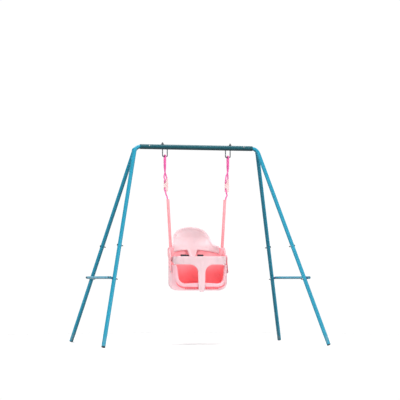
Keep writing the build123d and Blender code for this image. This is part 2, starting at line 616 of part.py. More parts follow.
with BuildPart() as guard:
    with BuildSketch(Plane.XY.offset(POST_BOTTOM_Z)):
        guard_plan(0)
    extrude(amount=GUARD_Z1 - POST_BOTTOM_Z)
    with BuildSketch(Plane.XY.offset(POST_BOTTOM_Z - 5)):
        guard_plan(GUARD_T)
    extrude(amount=GUARD_Z1 - POST_BOTTOM_Z + 10, mode=Mode.SUBTRACT)
    # front view: a band with a post that flares into it
    with BuildSketch(Plane.XZ.offset(-20)):
        with BuildLine():
            Polyline((-200, GUARD_Z0), (-200, GUARD_Z1 + 5), (200, GUARD_Z1 + 5), (200, GUARD_Z0))
            for flip in (1, -1):
                Line((200 * flip, GUARD_Z0), ((POST_HALF + FLARE_R) * flip, GUARD_Z0))
                RadiusArc((POST_HALF * flip, GUARD_Z0 - FLARE_R), ((POST_HALF + FLARE_R) * flip, GUARD_Z0),
                          FLARE_R * flip)
                Line((POST_HALF * flip, GUARD_Z0 - FLARE_R), (POST_HALF * flip, POST_BOTTOM_Z + POST_HALF))
            ThreePointArc((POST_HALF, POST_BOTTOM_Z + POST_HALF), (0, POST_BOTTOM_Z),
                          (-POST_HALF, POST_BOTTOM_Z + POST_HALF))
        make_face()
    extrude(amount=200, mode=Mode.INTERSECT)
    # side view: each arm narrows to a round tab on its pivot
    with BuildSketch(Plane.YZ.offset(-250)):
        with BuildLine():
            Polyline((-85, POST_BOTTOM_Z - 20), (-85, GUARD_Z0), (PIVOT_Y, PIVOT_Z - GUARD_TAB_R))
            ThreePointArc((PIVOT_Y, PIVOT_Z - GUARD_TAB_R), (PIVOT_Y + GUARD_TAB_R, PIVOT_Z),
                          (PIVOT_Y, PIVOT_Z + GUARD_TAB_R))
            Polyline((PIVOT_Y, PIVOT_Z + GUARD_TAB_R), (-200, PIVOT_Z + GUARD_TAB_R), (-200, POST_BOTTOM_Z - 20),
                     (-85, POST_BOTTOM_Z - 20))
        make_face()
    extrude(amount=500, mode=Mode.INTERSECT)
    rod(Vector(-250, PIVOT_Y, PIVOT_Z), Vector(1, 0, 0), PIVOT_R + PIVOT_CLEAR, 500, mode=Mode.SUBTRACT)
save(guard, "t_bar_guard")

for label, side in SIDES:
    with BuildPart() as pivot_pin:
        for radius, (start, end) in ((PIN_HEAD_R, PIN_HEAD_X), (PIVOT_R, PIN_SHAFT_X)):
            rod(Vector(side * start, PIVOT_Y, PIVOT_Z), Vector(side, 0, 0), radius, end - start)
    save(pivot_pin, f"pivot_pin_{label}")


# ---------------------------------------------------------------- side brackets
def disc(place, radius, x_range, side):
    """Add a disc across the seat's side, between two distances from the middle."""
    rod(Vector(side * x_range[0], *place), Vector(side, 0, 0), radius, x_range[1] - x_range[0])


def web(places, side, x_range):
    """Add a flat web that joins round ends (y, z, radius) in a hull."""
    with BuildSketch(Plane.YZ.offset(side * x_range[0])) as section:
        for y, z, radius in places:
            with Locations((y, z)):
                Circle(radius)
        make_hull()
    extrude(to_extrude=section.sketch, amount=side * (x_range[1] - x_range[0]))


for label, side in SIDES:
    with BuildPart() as side_bracket:
        disc((PIVOT_Y, PIVOT_Z), BOSS_R, BOSS_X, side)
        fillet(side_bracket.edges().sort_by(Axis.X)[-1 if side > 0 else 0], radius=5)
        web([(PIVOT_Y, PIVOT_Z, BOSS_R - 4), (*ARM_END, ARM_END_R)], side, WEB_X)
        web([(PIVOT_Y, PIVOT_Z, BOSS_R - 6), (*ARM_REAR, ARM_REAR_R)], side, WEB_X)
        web([(PIVOT_Y, PIVOT_Z, BOSS_R - 4), (0, SOCKET_Z[1] - 17, 17), (4, SOCKET_Z[0] + 10, 12)], side,
            (168.0, WEB_X[1]))
        with BuildSketch(Plane.XY.offset(SOCKET_Z[0])):
            with Locations((side * SOCKET_X, 0)):
                RectangleRounded(*SOCKET_SIZE, 6)
        extrude(amount=SOCKET_Z[1] - SOCKET_Z[0])
        # a spacer boss fills the gap to the curved shell wall at the arm's end
        disc(ARM_END, 6, (174.9, WEB_X[0] + 1), side)
        grip_low = Vector(side * GRIP_FOOT[0], 0, GRIP_FOOT[1])
        grip_dir = Vector(side * (GRIP_TOP[0] - GRIP_FOOT[0]), 0, GRIP_TOP[1] - GRIP_FOOT[1]).normalized()
        rod(grip_low, grip_dir, GRIP_D / 2 + 0.2, 60, mode=Mode.SUBTRACT)
        rod(grip_low - grip_dir * 60, grip_dir, ROPE_D / 2 + 0.8, 100, mode=Mode.SUBTRACT)
        rod(Vector(side * grip_x(KNOT_Z), 0, SOCKET_Z[0] - 20), Vector(0, 0, 1), KNOT_R + 0.6,
            KNOT_Z + KNOT_R - SOCKET_Z[0] + 20, mode=Mode.SUBTRACT)
        rod(Vector(side * (BOSS_X[0] - 1), PIVOT_Y, PIVOT_Z), Vector(side, 0, 0), PIVOT_R,
            PIN_SHAFT_X[1] - BOSS_X[0] + 1, mode=Mode.SUBTRACT)
        for y, z in SCREW_PLACES:
            rod(Vector(side * 165, y, z), Vector(side, 0, 0), SEAT_SCREW_R + 0.1, 30, mode=Mode.SUBTRACT)
    save(side_bracket, f"side_bracket_{label}")

with BuildPart() as bracket_screws:
    for _, side in SIDES:
        out = Vector(side, 0, 0)
        for y, z in SCREW_PLACES:
            seat = Vector(side * (WEB_X[1] + 0.05), y, z)
            dome_head(seat, out, 5.0, 3.0)
            rod(seat, out * -1, SEAT_SCREW_R, SEAT_SCREW_L)
save(bracket_screws, "bracket_screws")
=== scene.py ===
"""Looks of the toddler swing set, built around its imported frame.

Shapes are worked out in millimetres and stored in metres. +X runs along the beam, +Z is up.
"""
import math

import bmesh
import bpy
import numpy as np
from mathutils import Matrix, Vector
from mathutils.geometry import delaunay_2d_cdt


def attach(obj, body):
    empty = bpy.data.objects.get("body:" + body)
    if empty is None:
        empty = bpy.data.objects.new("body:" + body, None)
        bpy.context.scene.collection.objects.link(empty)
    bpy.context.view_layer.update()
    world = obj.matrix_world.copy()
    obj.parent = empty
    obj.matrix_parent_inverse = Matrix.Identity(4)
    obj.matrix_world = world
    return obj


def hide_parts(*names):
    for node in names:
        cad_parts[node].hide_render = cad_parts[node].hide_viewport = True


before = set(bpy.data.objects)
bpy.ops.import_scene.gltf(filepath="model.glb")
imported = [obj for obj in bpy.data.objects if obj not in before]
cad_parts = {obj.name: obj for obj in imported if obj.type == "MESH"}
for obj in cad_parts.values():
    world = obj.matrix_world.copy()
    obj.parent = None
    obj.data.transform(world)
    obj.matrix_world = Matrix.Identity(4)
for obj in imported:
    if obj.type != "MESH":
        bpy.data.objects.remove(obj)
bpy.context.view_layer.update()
MM = 0.001
SIDES = (("left", -1), ("right", 1))
scene = bpy.context.scene


# ---------------- camera and light
def look(obj, direction):
    """Turn a camera or lamp to face along a direction."""
    obj.rotation_mode = "QUATERNION"
    obj.rotation_quaternion = Vector(direction).to_track_quat("-Z", "Y")


CAMERA_PLACE = (-2.827, -10.855, 0.3963)
YAW, PITCH = 0.2567, 0.0433  # radians: from +Y towards +X, and upwards
SENSOR_MM, LENS_MM = 36.0, 164.4
FAR_CLIP = 200

camera = bpy.data.objects.new("camera", bpy.data.cameras.new("camera"))
camera.location = CAMERA_PLACE
look(camera, (math.sin(YAW) * math.cos(PITCH), math.cos(YAW) * math.cos(PITCH), math.sin(PITCH)))
camera.data.sensor_width = SENSOR_MM
camera.data.lens = LENS_MM
camera.data.clip_end = FAR_CLIP
scene.collection.objects.link(camera)
scene.camera = camera
scene.view_settings.view_transform = "Standard"


LIT_POINT = Vector((0, 0, 0.6))


def area_light(name, place, size, power):
    """A square white lamp, metres and watts, that faces the middle of the swing set."""
    data = bpy.data.lights.new(name, "AREA")
    data.size, data.energy = size, power
    lamp = bpy.data.objects.new(name, data)
    lamp.location = place
    look(lamp, LIT_POINT - Vector(place))
    scene.collection.objects.link(lamp)


area_light("key", (4.2, -4.2, 3.4), size=2.2, power=215)
area_light("fill", (-4.4, -4.0, 2.8), size=2.4, power=175)
area_light("top", (0.0, 0.4, 4.8), size=2.8, power=190)

ROOM_STRENGTH, BACKDROP_STRENGTH = 0.42, 1.03
BACKDROP_EDGE, BACKDROP_FULL = 0.55, 0.92  # Y of the unit directions between which it brightens


def studio_world():
    """White backdrop behind the swing set, a dimmer room on every other side."""
    world = bpy.data.worlds.new("studio")
    world.use_nodes = True
    tree = world.node_tree
    split = tree.nodes.new("ShaderNodeSeparateXYZ")
    tree.links.new(tree.nodes.new("ShaderNodeTexCoord").outputs["Generated"], split.inputs["Vector"])
    spread = tree.nodes.new("ShaderNodeMapRange")
    spread.interpolation_type = "SMOOTHSTEP"
    for key, value in (("From Min", BACKDROP_EDGE), ("From Max", BACKDROP_FULL),
                       ("To Min", ROOM_STRENGTH), ("To Max", BACKDROP_STRENGTH)):
        spread.inputs[key].default_value = value
    tree.links.new(split.outputs["Y"], spread.inputs["Value"])
    tree.links.new(spread.outputs["Result"], tree.nodes["Background"].inputs["Strength"])
    tree.nodes["Background"].inputs["Color"].default_value = (1, 1, 1, 1)
    scene.world = world


studio_world()


# ---------------- materials
def srgb(r, g, b):
    """Linear RGBA of an 8-bit sRGB colour."""
    part = [c / 255 for c in (r, g, b)]
    return tuple(((c + 0.055) / 1.055) ** 2.4 if c > 0.04045 else c / 12.92 for c in part) + (1.0,)


def shade(colour, factor):
    """A colour made lighter or darker."""
    return tuple(min(1.0, c * factor) for c in colour[:3]) + (1.0,)


class Nodes:
    """Short calls to lay out one material's nodes."""

    def __init__(self, name):
        self.material = bpy.data.materials.new(name)
        self.material.use_nodes = True
        self.tree = self.material.node_tree
        self.shader = self.tree.nodes["Principled BSDF"]
        self.coords = self.tree.nodes.new("ShaderNodeTexCoord").outputs["Object"]

    def link(self, out, socket):
        self.tree.links.new(out, socket)

    def add(self, kind, **values):
        node = self.tree.nodes.new(kind)
        for key, value in values.items():
            setattr(node, key, value)
        return node

    def noise(self, scale, detail=3.0, rough=0.55, coords=None, stretch=None):
        """A noise factor; the scale counts features per metre, or per unit of other coordinates."""
        node = self.add("ShaderNodeTexNoise")
        node.inputs["Scale"].default_value = scale
        node.inputs["Detail"].default_value = detail
        node.inputs["Roughness"].default_value = rough
        source = coords or self.coords
        if stretch:
            mapping = self.add("ShaderNodeMapping")
            mapping.inputs["Scale"].default_value = stretch
            self.link(source, mapping.inputs["Vector"])
            source = mapping.outputs["Vector"]
        self.link(source, node.inputs["Vector"])
        return node.outputs["Fac"]

    def voronoi(self, scale):
        node = self.add("ShaderNodeTexVoronoi")
        node.inputs["Scale"].default_value = scale
        self.link(self.coords, node.inputs["Vector"])
        return node.outputs["Distance"]

    def ramp(self, source, low, high, to_low=0.0, to_high=1.0):
        """Smooth step from one value to another while the source goes from low to high."""
        node = self.add("ShaderNodeMapRange", clamp=True)
        node.interpolation_type = "SMOOTHSTEP"
        for key, value in (("From Min", low), ("From Max", high),
                           ("To Min", to_low), ("To Max", to_high)):
            node.inputs[key].default_value = value
        self.link(source, node.inputs["Value"])
        return node.outputs["Result"]

    def mix(self, fac, a, b):
        node = self.add("ShaderNodeMix", data_type="RGBA")
        self.link(fac, node.inputs["Factor"])
        for value, socket in ((a, node.inputs["A"]), (b, node.inputs["B"])):
            if isinstance(value, tuple):
                socket.default_value = value
            else:
                self.link(value, socket)
        return node.outputs["Result"]

    def math(self, operation, a, b):
        node = self.add("ShaderNodeMath", operation=operation)
        for value, socket in ((a, node.inputs[0]), (b, node.inputs[1])):
            if isinstance(value, (int, float)):
                socket.default_value = value
            else:
                self.link(value, socket)
        return node.outputs["Value"]

    def z_of(self, vector):
        split = self.add("ShaderNodeSeparateXYZ")
        self.link(vector, split.inputs["Vector"])
        return split.outputs["Z"]

    def height(self):
        """Height above the floor, in metres."""
        return self.z_of(self.coords)

    def bump(self, source, strength, distance, after=None):
        node = self.add("ShaderNodeBump")
        node.inputs["Strength"].default_value = strength
        node.inputs["Distance"].default_value = distance
        self.link(source, node.inputs["Height"])
        if after is not None:
            self.link(after, node.inputs["Normal"])
        return node.outputs["Normal"]

    def finish(self, colour, rough=None, normal=None, **fixed):
        """Feed the shader; fixed values are named as its sockets, with _ for a space."""
        if isinstance(colour, tuple):
            self.shader.inputs["Base Color"].default_value = colour
        else:
            self.link(colour, self.shader.inputs["Base Color"])
        if rough is not None:
            self.link(rough, self.shader.inputs["Roughness"])
        if normal is not None:
            self.link(normal, self.shader.inputs["Normal"])
        for key, value in fixed.items():
            self.shader.inputs[key.replace("_", " ")].default_value = value
        return self.material


CHIPPED, DUST, RUST = srgb(150, 158, 160), srgb(152, 138, 118), srgb(120, 78, 52)
PAINTED_UNDERSIDE_SHADE = 0.45  # painted shade: the share of its brightness that the paint keeps where it faces down
DUST_HEIGHT, DUST_SHARE = 0.10, 0.3


def painted_steel(name, colour, dirt=True):
    """Satin powder coat: orange peel, cloudy tone, chips; painted shade underneath, dusty at the feet.
    """
    n = Nodes(name)
    tone = n.mix(n.ramp(n.noise(7.0), 0.3, 0.7), shade(colour, 0.96), shade(colour, 1.04))
    chips = n.ramp(n.noise(60.0, detail=4.0, rough=0.6), 0.82, 0.84)
    tone = n.mix(chips, tone, CHIPPED)
    facing = n.z_of(n.add("ShaderNodeNewGeometry").outputs["Normal"])
    # painted shade: the paint darkens where the surface faces down, away from the lamps
    tone = n.mix(n.ramp(facing, -0.5, 0.0), shade(colour, PAINTED_UNDERSIDE_SHADE), tone)
    if dirt:
        low = n.ramp(n.height(), 0.0, DUST_HEIGHT, 1.0, 0.0)
        patch = n.math("MULTIPLY", low, n.ramp(n.noise(60.0, 5.0), 0.38, 0.62))
        tone = n.mix(n.math("MULTIPLY", patch, DUST_SHARE), tone, DUST)
    scuff = n.ramp(n.noise(40.0, 6.0, 0.7), 0.45, 0.75)
    rough = n.math("ADD", n.math("MULTIPLY", scuff, 0.06), 0.40)
    peel = n.bump(n.noise(420.0, 2.0), 0.012, 0.0002)
    normal = n.bump(chips, 0.25, -0.0003, peel)
    return n.finish(tone, rough, normal, Specular_IOR_Level=0.22, Coat_Weight=0.06,
                    Coat_Roughness=0.2)


def bare_steel(name, colour, metallic=1.0, rust=0.18):
    """Zinc plate or blackened steel: blotchy, finely grained, with a few rust spots."""
    n = Nodes(name)
    tone = n.mix(n.ramp(n.noise(120.0, 4.0), 0.35, 0.65), shade(colour, 0.82), shade(colour, 1.08))
    spots = n.math("MULTIPLY", n.ramp(n.noise(210.0, 5.0, 0.7), 0.62, 0.72), rust)
    tone = n.mix(spots, tone, RUST)
    rough = n.math("ADD", n.math("MULTIPLY", n.noise(260.0, 4.0), 0.30), 0.18)
    normal = n.bump(n.noise(1500.0, 2.0), 0.12, 0.0003)
    return n.finish(tone, rough, normal, Metallic=metallic)


def moulded(name, colour, rough, soft=0.06, cloud=0.05, painted_light=None):
    """Moulded plastic: slightly cloudy, spark-eroded, rubbed in patches; it may take painted light,
    paler with height.
    """
    n = Nodes(name)
    clouds = n.ramp(n.noise(9.0, 2.0), 0.3, 0.7)
    tone = n.mix(clouds, shade(colour, 1 - cloud), shade(colour, 1 + cloud))
    if painted_light:
        pale, low, high = painted_light
        # painted light: the colour turns paler higher up, where more light reaches the surface
        tone = n.mix(n.ramp(n.height(), low, high), tone, pale)
    stains = n.math("MULTIPLY", n.ramp(n.noise(55.0, 6.0), 0.60, 0.75), 0.10)
    tone = n.mix(stains, tone, shade(colour, 0.80))
    scuffs = n.ramp(n.noise(30.0, 5.0, 0.7), 0.35, 0.75)
    uneven = n.math("ADD", n.math("MULTIPLY", scuffs, 0.14), rough - 0.05)
    normal = n.bump(n.noise(1700.0, 2.0), 0.10, 0.0004)
    return n.finish(tone, uneven, normal, Subsurface_Weight=soft, Subsurface_Scale=1.0,
                    Subsurface_Radius=(0.006, 0.003, 0.002))


def foam(name, colour):
    """Soft PVC grip: matt skin with fine closed pores."""
    n = Nodes(name)
    tone = n.mix(n.ramp(n.noise(22.0), 0.3, 0.7), shade(colour, 0.95), shade(colour, 1.04))
    pores = n.voronoi(900.0)
    normal = n.bump(pores, 0.12, 0.0004)
    rough = n.math("ADD", n.math("MULTIPLY", n.noise(70.0), 0.16), 0.44)
    return n.finish(tone, rough, normal, Sheen_Weight=0.15, Subsurface_Weight=0.05,
                    Subsurface_Radius=(0.004, 0.002, 0.002))


def yarn(name, light, dark):
    """Braided polypropylene: fine filaments that run along each strand, with painted shade in the
    grooves between them.
    """
    n = Nodes(name)
    uv = n.add("ShaderNodeUVMap", uv_map="along").outputs["UV"]
    threads = n.noise(1.0, 3.0, 0.6, coords=uv, stretch=(3.0, 46.0, 1.0))
    fleck = n.noise(260.0, 3.0)
    # painted shade: the colour darkens where the bump sinks between the filaments
    tone = n.mix(n.ramp(threads, 0.34, 0.66), dark, light)
    tone = n.mix(n.math("MULTIPLY", n.ramp(fleck, 0.5, 0.7), 0.35), tone, shade(light, 1.25))
    normal = n.bump(threads, 0.55, 0.0004)
    rough = n.math("ADD", n.math("MULTIPLY", fleck, 0.2), 0.45)
    return n.finish(tone, rough, normal, Sheen_Weight=0.35)


TEAL, BEAM = srgb(28, 138, 166), srgb(20, 80, 91)
# The liner's colour, the third one, is deeper than the brackets' coral of the same plastic: painted
# shade of the cup's inside.
LIGHT_PINK, CORAL, SHADED_CORAL = srgb(221, 191, 196), srgb(242, 168, 176), srgb(250, 130, 137)
LINER_PAINTED_LIGHT = (srgb(252, 178, 186), 0.43, 0.55)  # painted light: a paler colour, and the heights it comes in over

leg_paint = painted_steel("leg_paint", TEAL)
beam_paint = painted_steel("beam_paint", BEAM, dirt=False)
zinc = bare_steel("zinc_steel", srgb(196, 196, 198))
hanger_steel = bare_steel("hanger_steel", srgb(112, 118, 122), metallic=0.9)
black_steel = bare_steel("dark_steel", srgb(48, 56, 64), metallic=0.75, rust=0.08)
dark_plug = moulded("dark_plug", srgb(34, 46, 54), rough=0.55, soft=0.0)
cap_plastic = moulded("cap_plastic", srgb(38, 112, 134), rough=0.5, soft=0.0)
navy = moulded("spacer_plastic", srgb(14, 40, 98), rough=0.5, soft=0.0)
adjuster_mat = moulded("adjuster_plastic", srgb(236, 200, 200), rough=0.42, cloud=0.02)
strip_mat = moulded("strip_plastic", srgb(236, 112, 122), rough=0.5)
# painted shade: the teeth are darker than the strip of the same plastic, for the shaded dashes under
# the rim
shaded_teeth_mat = moulded("teeth_plastic", srgb(214, 62, 74), rough=0.5)
cup_mat = moulded("cup_plastic", srgb(229, 178, 186), rough=0.36)
shell_mat = moulded("shell_plastic", LIGHT_PINK, rough=0.36)
# the liner: painted shade in its colour, and painted light higher up
liner_mat = moulded("liner_plastic", SHADED_CORAL, rough=0.42, painted_light=LINER_PAINTED_LIGHT)
coral_mat = moulded("coral_plastic", CORAL, rough=0.42)
grip_mat = foam("grip_plastic", srgb(252, 156, 164))
rope_mat = yarn("rope_yarn", srgb(248, 116, 188), srgb(224, 80, 156))
core_mat = moulded("rope_core", srgb(190, 52, 124), rough=0.8, soft=0.0)

# the first entry that a node's name starts with; every other node is zinc plated
NODE_LOOKS = {
    "top_beam": beam_paint,
    "beam_sleeve": dark_plug,
    "foot_plug": dark_plug,
    "leg_bolts": black_steel,
    "brace_bolts": black_steel,
    "brace_end_caps": cap_plastic,
    "brace_spacers": navy,
    "hanger_washers": dark_plug,
    "hanger_": hanger_steel,
    "side_brace": leg_paint,
    "front_": leg_paint,
    "rear_": leg_paint,
}
for node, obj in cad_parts.items():
    chosen = next((m for start, m in NODE_LOOKS.items() if node.startswith(start)), zinc)
    obj.data.materials.clear()
    obj.data.materials.append(chosen)

FLOOR_DARK, FLOOR_LIGHT = (0.80, 0.80, 0.80, 1), (0.83, 0.83, 0.83, 1)
floor_nodes = Nodes("floor")
floor_tone = floor_nodes.mix(floor_nodes.noise(1.5, 4.0), FLOOR_DARK, FLOOR_LIGHT)
floor_mat = floor_nodes.finish(floor_tone, Roughness=0.9)


# ---------------- mesh tools
SAME_POINT = 1e-6  # metres between corners that are merged
SHARP_ANGLE = 60.0


def piece(name, verts, faces, material, body=None, slot=None, replaces=(), smooth=SHARP_ANGLE):
    """A mesh object from points in millimetres, closed up, with its normals outward."""
    mesh = bpy.data.meshes.new(name)
    mesh.from_pydata([tuple(float(c) * MM for c in v) for v in verts], [], faces)
    bm = bmesh.new()
    bm.from_mesh(mesh)
    bmesh.ops.remove_doubles(bm, verts=bm.verts, dist=SAME_POINT)
    bmesh.ops.recalc_face_normals(bm, faces=bm.faces)
    bm.to_mesh(mesh)
    bm.free()
    mesh.materials.append(material)
    obj = bpy.data.objects.new(name, mesh)
    scene.collection.objects.link(obj)
    mesh.shade_smooth()
    if smooth:
        mesh.set_sharp_from_angle(angle=math.radians(smooth))
    if body:
        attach(obj, body)
    if replaces:
        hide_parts(*replaces)
    return obj


def join(parts):
    """Verts and faces of several (verts, faces) pairs as one pair."""
    verts, faces = [], []
    for v, f in parts:
        start = len(verts)
        verts.extend(v)
        faces.extend([tuple(i + start for i in face) for face in f])
    return verts, faces


def box(a, b, half_a, half_b):
    """Corners of a rectangle about a middle point, counter-clockwise from the low one."""
    low_a, high_a, low_b, high_b = a - half_a, a + half_a, b - half_b, b + half_b
    return [(low_a, low_b), (high_a, low_b), (high_a, high_b), (low_a, high_b)]


LARGEST_CORNER = 0.49  # share of an edge that one rounded corner may take up


def rounded(points, radii, step=6.0, closed=True):
    """A polyline with rounded corners; radii is one number or one per point, step is in degrees."""
    pts = [np.array(p, float) for p in points]
    count = len(pts)
    if not hasattr(radii, "__len__"):
        radii = [radii] * count
    out = []
    for i, (p, r) in enumerate(zip(pts, radii)):
        if not closed and i in (0, count - 1) or r <= 0:
            out.append(p)
            continue
        a, b = pts[i - 1] - p, pts[(i + 1) % count] - p
        la, lb = np.linalg.norm(a), np.linalg.norm(b)
        a, b = a / la, b / lb
        turn = math.acos(max(-1, min(1, float(-a @ b))))
        if turn < 1e-3:
            out.append(p)
            continue
        reach = min(r * math.tan(turn / 2), LARGEST_CORNER * la, LARGEST_CORNER * lb)
        radius = reach / math.tan(turn / 2)
        centre = p + (a + b) / np.linalg.norm(a + b) * math.hypot(radius, reach)
        start, stop = p + a * reach - centre, p + b * reach - centre
        cross = start[0] * stop[1] - start[1] * stop[0]
        number = max(3, int(math.degrees(turn) / step))
        for k in range(number + 1):
            angle = math.copysign(turn * k / number, cross)
            c, s = math.cos(angle), math.sin(angle)
            out.append(centre + np.array([c * start[0] - s * start[1], s * start[0] + c * start[1]]))
    return np.array(out)


def smooth_line(points, number):
    """Catmull-Rom curve through points, with a number of steps between each two."""
    p = [np.array(q, float) for q in points]
    p = [2 * p[0] - p[1]] + p + [2 * p[-1] - p[-2]]
    out = []
    for a, b, c, d in zip(p, p[1:], p[2:], p[3:]):
        for k in range(number):
            t = k / number
            curve = (2 * a - 5 * b + 4 * c - d) * t**2 + (3 * b - a - 3 * c + d) * t**3
            out.append(0.5 * (2 * b + (c - a) * t + curve))
    out.append(p[-2])
    return np.array(out)


def even(points, gap, closed=True):
    """Points at an even spacing along a polyline."""
    p = np.array(points, float)
    if closed:
        p = np.vstack([p, p[:1]])
    keep = np.r_[True, np.linalg.norm(np.diff(p, axis=0), axis=1) > 1e-7]
    p = p[keep]
    along = np.r_[0, np.cumsum(np.linalg.norm(np.diff(p, axis=0), axis=1))]
    number = max(3, int(round(along[-1] / gap)))
    at = np.linspace(0, along[-1], number + 1)
    if closed:
        at = at[:-1]
    return np.stack([np.interp(at, along, p[:, k]) for k in range(p.shape[1])], axis=1)


def signed_area(p):
    """Area inside a contour, negative for a clockwise one."""
    x, y = p[:, 0], p[:, 1]
    return 0.5 * float(np.sum(x * np.roll(y, -1) - y * np.roll(x, -1)))


def outward(p):
    """Outward unit normals at the points of a counter-clockwise contour."""
    d = np.roll(p, -1, 0) - np.roll(p, 1, 0)
    d /= np.linalg.norm(d, axis=1)[:, None] + 1e-12
    return np.stack([d[:, 1], -d[:, 0]], axis=1)


def inside(points, contour):
    """Which of the points lie inside a contour."""
    x, y = points[:, 0][:, None], points[:, 1][:, None]
    a, b = contour, np.roll(contour, -1, 0)
    cross = (a[:, 1] > y) != (b[:, 1] > y)
    with np.errstate(divide="ignore", invalid="ignore"):
        at = (b[:, 0] - a[:, 0]) * (y - a[:, 1]) / (b[:, 1] - a[:, 1]) + a[:, 0]
    return (np.sum(cross & (x < at), axis=1) % 2) == 1


CHUNK = 2000  # points measured at a time, to spare memory


def gap_to(points, contours):
    """Distance from each point to the nearest contour."""
    best = np.full(len(points), 1e9)
    for c in contours:
        a, b = c, np.roll(c, -1, 0)
        d = b - a
        size = np.sum(d * d, axis=1) + 1e-12
        for start in range(0, len(points), CHUNK):
            p = points[start:start + CHUNK]
            t = np.clip(np.sum((p[:, None] - a) * d, axis=2) / size, 0, 1)
            near = np.linalg.norm(p[:, None] - (a + t[..., None] * d), axis=2).min(1)
            best[start:start + CHUNK] = np.minimum(best[start:start + CHUNK], near)
    return best


ROW_GAP, BORDER_GAP = 0.866, 0.55  # as shares of the gap: between grid rows, and grid to border


def fill(contours, gap):
    """Triangles inside the first contour and outside the others; the contours' points come first."""
    border = np.vstack(contours)
    edges, start = [], 0
    for c in contours:
        edges += [(start + i, start + (i + 1) % len(c)) for i in range(len(c))]
        start += len(c)
    low, high = contours[0].min(0), contours[0].max(0)
    xs = np.arange(low[0] + gap / 2, high[0], gap)
    ys = np.arange(low[1] + gap / 2, high[1], gap * ROW_GAP)
    grid = np.array([(x + (gap / 2 if j % 2 else 0), y) for j, y in enumerate(ys) for x in xs])
    ok = inside(grid, contours[0])
    for c in contours[1:]:
        ok &= ~inside(grid, c)
    grid = grid[ok]
    grid = grid[gap_to(grid, contours) > gap * BORDER_GAP]
    points = np.vstack([border, grid])
    out, _, tris, origin, _, _ = delaunay_2d_cdt([Vector(p) for p in points], edges, [], 1, 1e-7)
    back = [o[0] if o else None for o in origin]
    assert None not in back
    flat = np.array([[v.x, v.y] for v in out])
    middle = np.array([flat[list(t)].mean(0) for t in tris])
    ok = inside(middle, contours[0])
    for c in contours[1:]:
        ok &= ~inside(middle, c)
    return points, [tuple(back[i] for i in t) for t, good in zip(tris, ok) if good]


EDGE_STEPS = 3  # from a plate's face round to its widest line


def plate(shape, holes, place, thick, edge, gap, relief=None):
    """A plate of any outline with rounded edges. place(a, b, offset) maps its flat plan to space.

    relief(a, b, depth) raises the front face, where depth is the distance from the edge.
    """
    contours = []
    for number, c in enumerate([shape, *holes]):
        c = np.array(c, float)
        if (signed_area(c) < 0) != (number > 0):
            c = c[::-1]
        contours.append(c)
    outs = [outward(c) for c in contours]
    inner = [c - n * edge for c, n in zip(contours, outs)]
    flat, tris = fill(inner, gap)
    depth = gap_to(flat, inner)
    top = thick / 2 + (relief(flat[:, 0], flat[:, 1], depth) if relief else 0)
    verts = list(place(flat[:, 0], flat[:, 1], top * np.ones(len(flat))))
    verts += list(place(flat[:, 0], flat[:, 1], -thick / 2 * np.ones(len(flat))))
    size = len(flat)
    faces = [tuple(t) for t in tris] + [tuple(i + size for i in reversed(t)) for t in tris]
    half = thick / 2
    angles = [math.pi / 2 * k / EDGE_STEPS for k in range(1, EDGE_STEPS + 1)]
    steps = [(math.sin(a), half - edge + edge * math.cos(a)) for a in angles]
    flat_sided = half - edge > 1e-6
    turn = steps + [(out, -high) for out, high in reversed(steps if flat_sided else steps[:-1])]
    start = 0
    for c, n in zip(inner, outs):
        count = len(c)
        loops = [[start + i for i in range(count)]]
        for out, high in turn:
            ring = c + n * edge * out
            loops.append(range(len(verts), len(verts) + count))
            verts += list(place(ring[:, 0], ring[:, 1], high * np.ones(count)))
        loops.append([size + start + i for i in range(count)])
        for a, b in zip(loops, loops[1:]):
            faces += [(a[i], b[i], b[(i + 1) % count], a[(i + 1) % count]) for i in range(count)]
        start += count
    return verts, faces


def frames(path):
    """Two side vectors at each point of a path, which don't twist along it."""
    p = np.array(path, float)
    t = np.gradient(p, axis=0)
    t /= np.linalg.norm(t, axis=1)[:, None]
    side = np.cross(t[0], [0.3, 0.9, 0.1])
    side /= np.linalg.norm(side)
    us = []
    for d in t:
        side = side - d * (side @ d)
        side /= np.linalg.norm(side)
        us.append(side)
    u = np.array(us)
    return u, np.cross(t, u)


CORD_SIDES = 10


def tube(path, radius, cap=True):
    """A solid round cord along a path."""
    p = np.array(path, float)
    sides = CORD_SIDES
    u, v = frames(p)
    angles = np.arange(sides) / sides * 2 * math.pi
    ring = np.cos(angles)[:, None, None] * u + np.sin(angles)[:, None, None] * v
    verts = list((p + ring * radius).transpose(1, 0, 2).reshape(-1, 3))
    faces = []
    for i in range(len(p) - 1):
        for k in range(sides):
            a, b = i * sides + k, i * sides + (k + 1) % sides
            faces.append((a, b, b + sides, a + sides))
    if cap:
        faces.append(tuple(range(sides))[::-1])
        faces.append(tuple(range((len(p) - 1) * sides, len(p) * sides)))
    return verts, faces


def lathe(origin, axis, profile, sides):
    """Revolve a closed profile of (along, radius) points about an axis."""
    origin, axis = np.array(origin, float), np.array(axis, float)
    axis /= np.linalg.norm(axis)
    u = np.cross(axis, [0.31, 0.17, 0.93])
    u /= np.linalg.norm(u)
    v = np.cross(axis, u)
    verts, faces = [], []
    for k in range(sides):
        a = 2 * math.pi * k / sides
        out = math.cos(a) * u + math.sin(a) * v
        verts += [origin + axis * h + out * r for h, r in profile]
    n = len(profile)
    for k in range(sides):
        a, b = k * n, ((k + 1) % sides) * n
        for i in range(n):
            j = (i + 1) % n
            if profile[i][1] < 1e-9 and profile[j][1] < 1e-9:
                continue
            faces.append((a + i, b + i, b + j, a + j))
    return verts, faces


